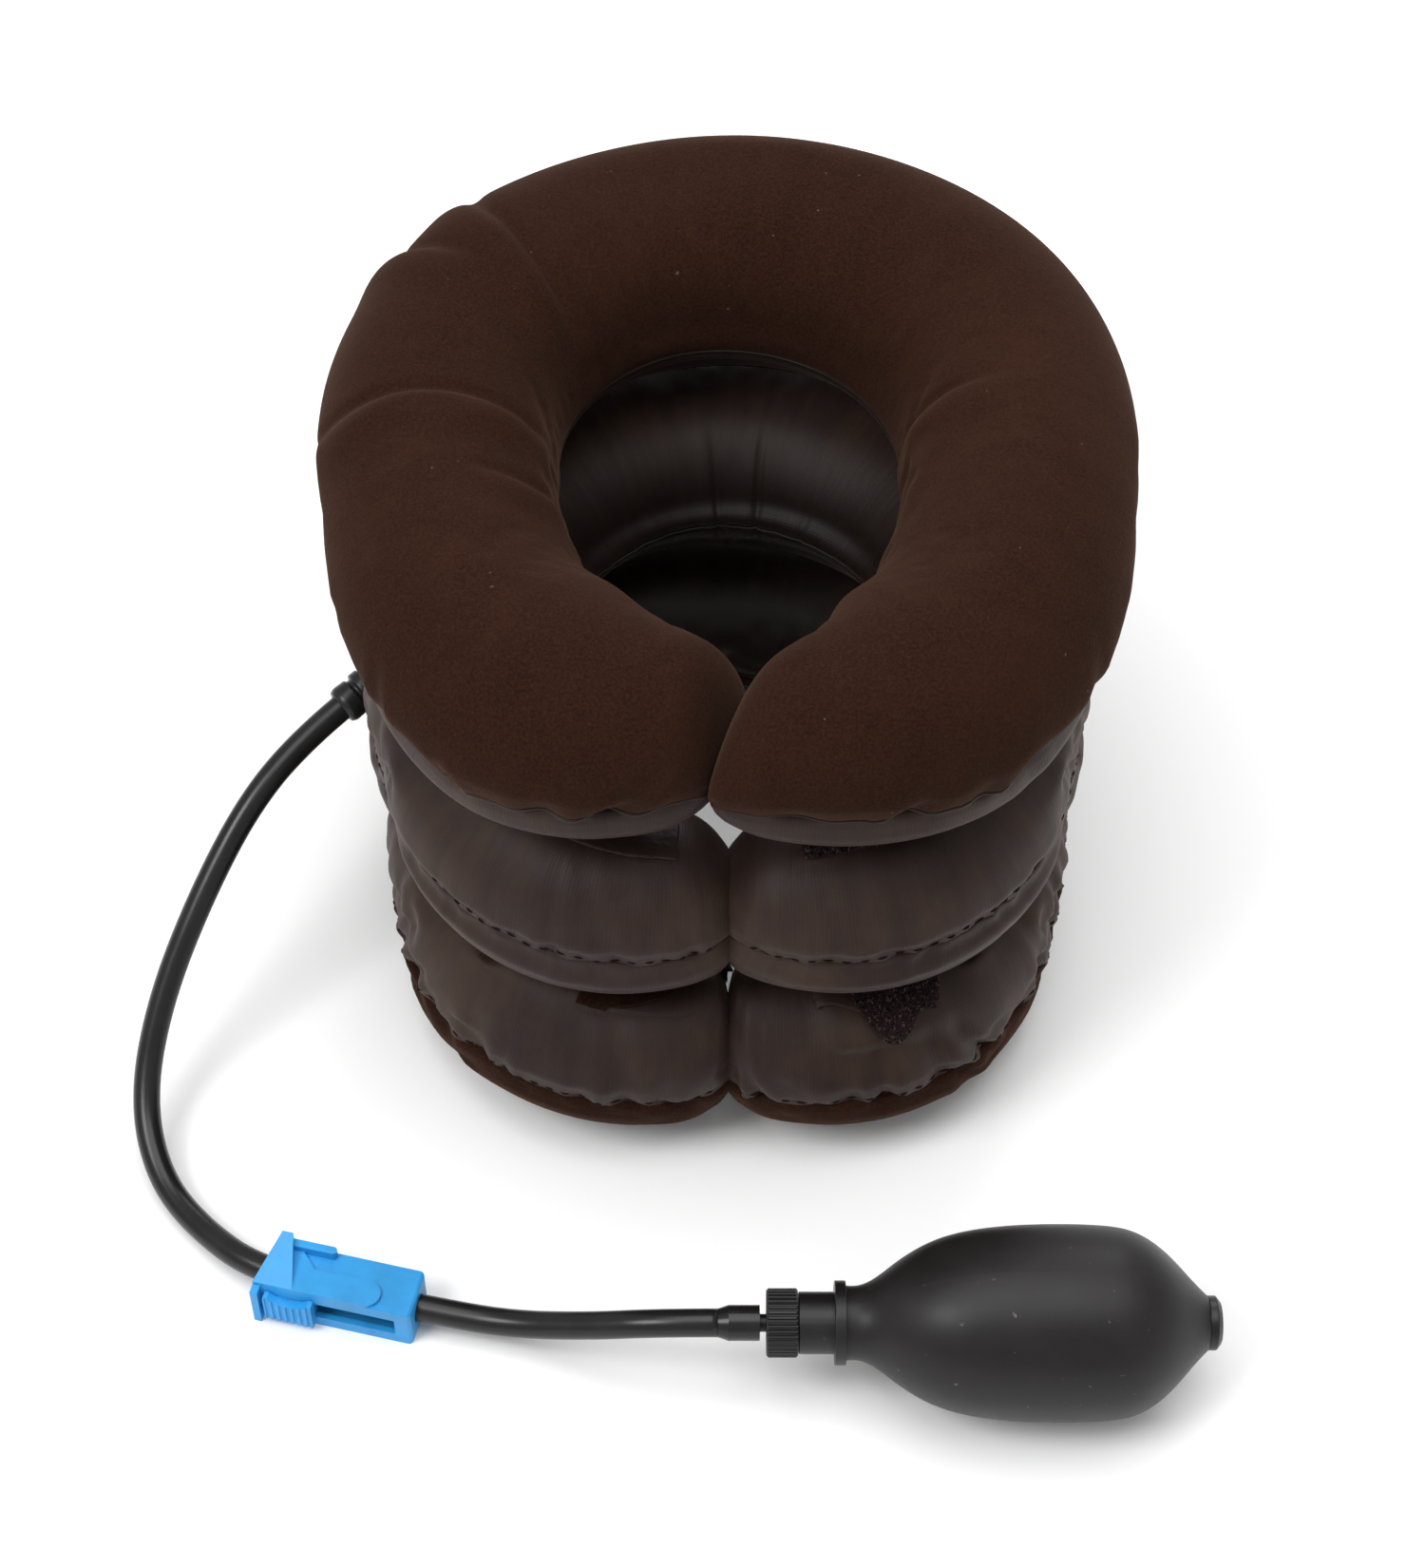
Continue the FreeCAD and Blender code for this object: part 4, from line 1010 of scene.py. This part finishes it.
def sewn_patch(name, node, material, tier=None, data=None):
    """A sewn piece remade from its CAD solid: fine mesh, soft edges, uneven nap. A tier's
    patch lies on its inflated fabric and rides on the patch's own body."""
    item = placed(name, frame["nodes"][node].data.copy())
    remesh = item.modifiers.new("fine", "REMESH")
    remesh.mode = "VOXEL"
    remesh.voxel_size = PATCH_VOXEL
    smooth = item.modifiers.new("soft_edges", "SMOOTH")
    smooth.factor = 0.5
    smooth.iterations = 2
    fine = settled_mesh(item)
    fine.name = name
    if tier:
        settle(item, tier.nodes, data[2])
    for vertex in fine.vertices:
        uneven = noise.noise(vertex.co * 900.0) + 0.8 * noise.noise(vertex.co * 190.0)
        vertex.co += vertex.normal * uneven * PATCH_GRAIN
    fine.materials.clear()
    fine.materials.append(material)
    fine.polygons.foreach_set("use_smooth", [True] * len(fine.polygons))
    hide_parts(node)
    if tier:
        flatten(item, tier, body_of[node])
    else:
        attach(item, body_of[node])
    return item


def settle(item, covers, grid):
    """Move a patch from the surface of the CAD covers onto the inflated fabric."""
    points, faces = [], []
    for node in covers:
        mesh = frame["nodes"][node].data
        base = len(points)
        points += [tuple(v.co) for v in mesh.vertices]
        faces += [tuple(base + k for k in face.vertices) for face in mesh.polygons]
    hard = BVHTree.FromPolygons(points, faces)
    soft = BVHTree.FromPolygons(grid.reshape(-1, 3).tolist(), grid_faces(*grid.shape[:2]))
    for vertex in item.data.vertices:
        hard_spot, _, _, height = hard.find_nearest(vertex.co)
        spot, normal = soft.find_nearest(vertex.co)[:2]
        outward = vertex.co - hard_spot
        if outward.length < 0.02 * MM:
            outward = normal
        if normal.dot(outward) < 0:
            normal = -normal
        target = spot + normal * (height + PATCH_LIFT)
        share = min(1.0, max(0.0, (FOLLOW_WHOLLY + FOLLOW_FADE - height) / FOLLOW_FADE))
        vertex.co = vertex.co.lerp(target, share)


def pile_loops(name, patch, node, tier, material):
    """The looped pile of a hook-and-loop patch: small bent fibres all over its face."""
    random = np.random.default_rng(len(name) + 40)
    centres, normals, areas = outer_faces(patch, tier)
    count = int(areas.sum() / LOOP_SPACING**2)
    chosen = random.choice(len(areas), count, p=areas / areas.sum())
    normal = normals[chosen]
    along = np.cross(normal, random.normal(size=(count, 3)))
    along /= np.linalg.norm(along, axis=1)[:, None]
    across = np.cross(normal, along)
    width, height, radius = (random.uniform(low, high, (count, 1)) * MM
                             for low, high in ((0.25, 0.60), (0.35, 0.90), (0.06, 0.11)))
    tilt = random.normal(size=(count, 1)) * 0.35
    foot = centres[chosen] + along * random.normal(size=(count, 1)) * 0.2 * MM - normal * 0.1 * MM
    arch = np.linspace(0, math.pi, 5)
    rings = []
    for angle in arch:
        rise = math.sin(angle) * height
        point = foot + along * math.cos(angle) * width + normal * rise + across * tilt * rise
        spoke = along * math.cos(angle) + normal * math.sin(angle)
        for turn in (0.0, 2 * math.pi / 3, 4 * math.pi / 3):
            rings.append(point + (across * math.cos(turn) + spoke * math.sin(turn)) * radius)
    vertices = np.stack(rings, 1)
    face = [(3 * i + k, 3 * i + (k + 1) % 3, 3 * i + 3 + (k + 1) % 3, 3 * i + 3 + k)
            for i in range(len(arch) - 1) for k in range(3)]
    faces = (np.arange(count)[:, None, None] * 15 + np.array(face)[None]).reshape(-1, 4)
    flatten(mesh_object(name, vertices.reshape(-1, 3), faces, material), tier, body_of[node])


def seam_bead(name, tier, grid, column, radius, material):
    """The thin folded edge that stands along a seam."""
    line = grid[2:-2, column]
    normal = grid_normals(grid)[2:-2, column]
    knots = np.arange(0, len(line) + BEAD_RUN, BEAD_RUN)
    draws = np.random.default_rng(len(name)).uniform(0.75, 1.25, len(line) // BEAD_RUN + 2)
    radii = radius * np.interp(np.arange(len(line)), knots, draws[: len(knots)])
    flatten(swept(name, line + normal * radius * 0.35, radii, material, BEAD_SIDES), tier)


def lathe(name, profile, origin, direction, material, around=48):
    """A turned piece: profile is (distance along, radius) in millimetres."""
    axis = np.array(direction, float)
    side = np.cross(axis, [0.0, 0.0, 1.0])
    side /= np.linalg.norm(side)
    up = np.cross(side, axis)
    turns = np.linspace(0, 2 * math.pi, around, endpoint=False)
    ring = np.cos(turns)[:, None] * side + np.sin(turns)[:, None] * up
    vertices = []
    for along, radius in profile:
        vertices += list(np.array(origin) + axis * along * MM + ring * radius * MM)
    faces = []
    count = len(profile)
    for i in range(count):
        a, b = i * around, (i + 1) % count * around
        for j in range(around):
            k = (j + 1) % around
            faces.append((a + j, b + j, b + k, a + k))
    return mesh_object(name, vertices, faces, material)


def rounded_profile(corners, radius, steps=5):
    """A closed profile with its corners rounded; corners are (distance, radius) pairs."""
    points = []
    count = len(corners)
    for i in range(count):
        before, corner, after = (np.array(corners[(i + k) % count], float) for k in (-1, 0, 1))
        back, ahead = np.linalg.norm(before - corner), np.linalg.norm(after - corner)
        near = min(radius, 0.45 * back, 0.45 * ahead)
        start = corner + (before - corner) / back * near
        end = corner + (after - corner) / ahead * near
        for k in range(steps):
            share = k / (steps - 1)
            middle = 2 * share * (1 - share) * corner
            points.append((1 - share) ** 2 * start + middle + share**2 * end)
    return points


# ---------------------------------------------------------------- put it together

add_camera()
add_studio()

black_rubber = moulded("tube_rubber", (0.0085, 0.0080, 0.0080), (0.22, 0.36), 0.00002, 0.0, 0.36)
bulb_rubber = moulded("bulb_rubber", (0.0105, 0.0090, 0.0090), (0.38, 0.50), 0.00003, 0.3, 0.30)
black_plastic = moulded("black_plastic", (0.0080, 0.0072, 0.0072), (0.34, 0.46), 0.00003, 0.1, 0.34)
clamp_plastic = moulded("clamp_plastic", (0.022, 0.285, 0.64), (0.34, 0.46), 0.00002, 0.0, 0.4)
film = moulded("bladder_film", (0.02, 0.02, 0.022), (0.35, 0.5), 0.00004)
nap = velour()
dark_nylon = nylon()
stitch_thread = thread()
# the closure patch's velour: the same nap at 0.55 of its brightness
darker_nap = velour("closure_velour", 0.55)
pile = fuzzy()
fibre = loop_fibre()

tube, tube_points, tube_length = add_tube(black_rubber)

low_joint, high_joint = "middle_tier_lift", "top_tier_lift"
bottom = Tier("bottom", ["bottom_cover_nylon", "bottom_cover_velour"], low_joint,
              77 * MM, 60 * MM, 0.0, 32 * MM, 0.0,
              swell=3.0 * MM, round_top=4 * MM, tip_top=31 * MM)
middle = Tier("middle", ["middle_cover_upper", "middle_cover_lower"], high_joint,
              78 * MM, 60 * MM, 4 * MM, 32 * MM, 0.0,
              swell=2.0 * MM, round_foot=6 * MM)
top = Tier("top", ["top_cover_velour", "top_cover_nylon"], high_joint,
           82.5 * MM, 62 * MM, 12 * MM, 34 * MM, 8 * MM,
           lean=11 * MM, stagger=4 * MM, back_swell=1.2 * MM, shoulder_swell=2.4 * MM,
           cheek=5.5 * MM)


def bottom_folds(f):
    f.waves(0.8 * MM, 110 * MM)
    for seam in (0.0, math.pi):
        f.groove(seam, 0.9 * MM, 2.0 * MM)
    f.puckers(0.0, 1, 12 * MM, 1.9 * MM, 21 * MM, 2.2 * MM)
    f.puckers(0.0, -1, 15 * MM, 1.7 * MM, 13 * MM, 2.6 * MM)
    f.puckers(math.pi, 1, 19 * MM, 0.8 * MM, 14 * MM, 2.6 * MM)


def middle_folds(f):
    f.waves(0.7 * MM, 120 * MM)
    for seam in (0.0, math.pi):
        f.groove(seam, 0.6 * MM, 1.8 * MM)
    f.puckers(0.0, 1, 10 * MM, 0.75 * MM, 17 * MM, 1.9 * MM)
    f.puckers(0.0, -1, 12 * MM, 0.65 * MM, 9 * MM, 1.9 * MM)
    f.puckers(math.pi, 1, 22 * MM, 0.25 * MM, 12 * MM, 2.2 * MM)
    for place in (-5 * MM, 15 * MM):
        f.crease(place, math.pi - 0.35, 0.75, 1.2 * MM, 1.3 * MM, 1.5 * MM, 0.3)


def top_folds(f):
    f.waves(0.5 * MM, 140 * MM)
    seam = f.tier.seam_angle
    f.groove(seam, 0.9 * MM, 1.8 * MM)
    f.groove(math.pi - seam, 0.9 * MM, 1.8 * MM)
    f.puckers(seam, 1, 17 * MM, 1.5 * MM, 13 * MM, 2.4 * MM, 185 * MM)
    f.puckers(seam, -1, 20 * MM, 0.5 * MM, 9 * MM, 2.4 * MM)
    f.crease(-69 * MM, 1.45, 1.25, 2.6 * MM, 2.2 * MM, -9 * MM, 1.2)
    f.crease(-84 * MM, 0.80, 0.95, 2.4 * MM, 1.8 * MM, -3 * MM, 1.2)
    f.crease(-142 * MM, 1.60, 1.45, 2.4 * MM, 1.8 * MM, 0.0, 1.3)
    f.crease(-170 * MM, 2.45, 0.75, 2.0 * MM, 1.2 * MM, 2 * MM, 0.9)
    f.crease(133 * MM, 2.45, 0.95, 2.4 * MM, 1.5 * MM, -2 * MM, 1.2, 1)


bottom_top = bottom.centre_z + bottom.half_height
middle_top = middle.centre_z + middle.half_height

# sewn patches: first and last distance from the tip in mm (left arm negative), low and
# high section angle in degrees
bottom_patches = [(-44, -6, 58, 132), (22, 62, 36, 124)]
middle_patches = [(-48, -14, 66, 112), (16, 56, 66, 112)]
bottom_data = build_tier(bottom, 0.4 * MM, bottom_folds, 0.0, bottom_top + CONTACT,
                         11, 0.10, bottom_patches)
middle_data = build_tier(middle, 0.4 * MM, middle_folds, bottom_top + CLEAR, middle_top + CONTACT,
                         12, 0.06, middle_patches)
top_data = build_tier(top, 0.6 * MM, top_folds, middle_top + CLEAR, None, 13, 0.02)

for tier, data, upper_cloth, lower_cloth in (
    (bottom, bottom_data, dark_nylon, nap),
    (middle, middle_data, dark_nylon, dark_nylon),
    (top, top_data, nap, dark_nylon),
):
    panel(tier, data, 0, SEAM_IN, upper_cloth, tier.nodes[0])
    panel(tier, data, SEAM_IN, SEAM_OUT, lower_cloth, tier.nodes[1])
    bladder(tier, data[2], film)

stitches("middle_stitches", middle, middle_data, stitch_thread)
stitches("bottom_stitches", bottom, bottom_data, stitch_thread)
seam_bead("top_outer_seam", top, top_data[2], 0, 0.55 * MM, dark_nylon)
for tier, data in ((bottom, bottom_data), (middle, middle_data), (top, top_data)):
    seam_bead(f"{tier.name}_inner_seam", tier, data[2], SEAM_IN, 0.45 * MM, dark_nylon)

low_seat, high_seat = (bottom, bottom_data), (middle, middle_data)
for node, material, seat, loops in (
    ("lower_closure_anchor", darker_nap, low_seat, False),
    ("lower_closure_loop", dark_nylon, low_seat, False),
    ("lower_closure_strap", pile, low_seat, True),
    ("upper_closure_loop", pile, high_seat, True),
    ("upper_closure_tab", dark_nylon, high_seat, False),
):
    patch = sewn_patch(f"{node}_tape", node, material, *seat)
    if loops:
        pile_loops(f"{node}_pile", patch, node, seat[0], fibre)

for node in ("join_tape_lower", "join_tape_upper"):
    sewn_patch(f"{node}_cloth", node, dark_nylon)

ferrule_outline = rounded_profile(
    [(-1.5, 4.02), (-1.5, 6.2), (1.6, 6.2), (2.0, 5.0), (2.9, 5.0), (3.4, 5.75), (7.4, 5.95),
     (9.0, 5.2), (9.0, 4.02)],
    0.7,
)
ferrule = lathe("tube_ferrule", ferrule_outline, port, PORT_DIRECTION, black_rubber)
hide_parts("inlet_ferrule")
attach(ferrule, body_of["inlet_ferrule"])

bevelled("clamp_body", clamp_plastic, 0.4 * MM, "tube_clamp")
bevelled("valve_body", black_plastic, 0.2 * MM, "pump_valve")
bevelled("intake_valve", black_plastic, 0.25 * MM, "pump_intake")
bevelled("hose_nipple", black_plastic, 0.15 * MM, "pump_nipple")
bevelled("clamp_slider", clamp_plastic, 0.25 * MM, "tube_clamp_slider")
for material, nodes in (
    (black_plastic, ("inlet_port", "slip_ring", "union_nut", "intake_retainer")),
    (black_rubber, ("tube_flared_end", "seal_washer", "outlet_check_disc", "intake_check_disc")),
    (bulb_rubber, ("bulb",)),
    (film, ("air_link_lower", "air_link_upper")),
):
    for node in nodes:
        paint(node, material)

floor_size = 2.6
corners = [(-floor_size, -floor_size, 0), (floor_size, -floor_size, 0),
           (floor_size, floor_size, 0), (-floor_size, floor_size, 0)]
floor_object = mesh_object("floor", corners, [(0, 1, 2, 3)], floor_material())
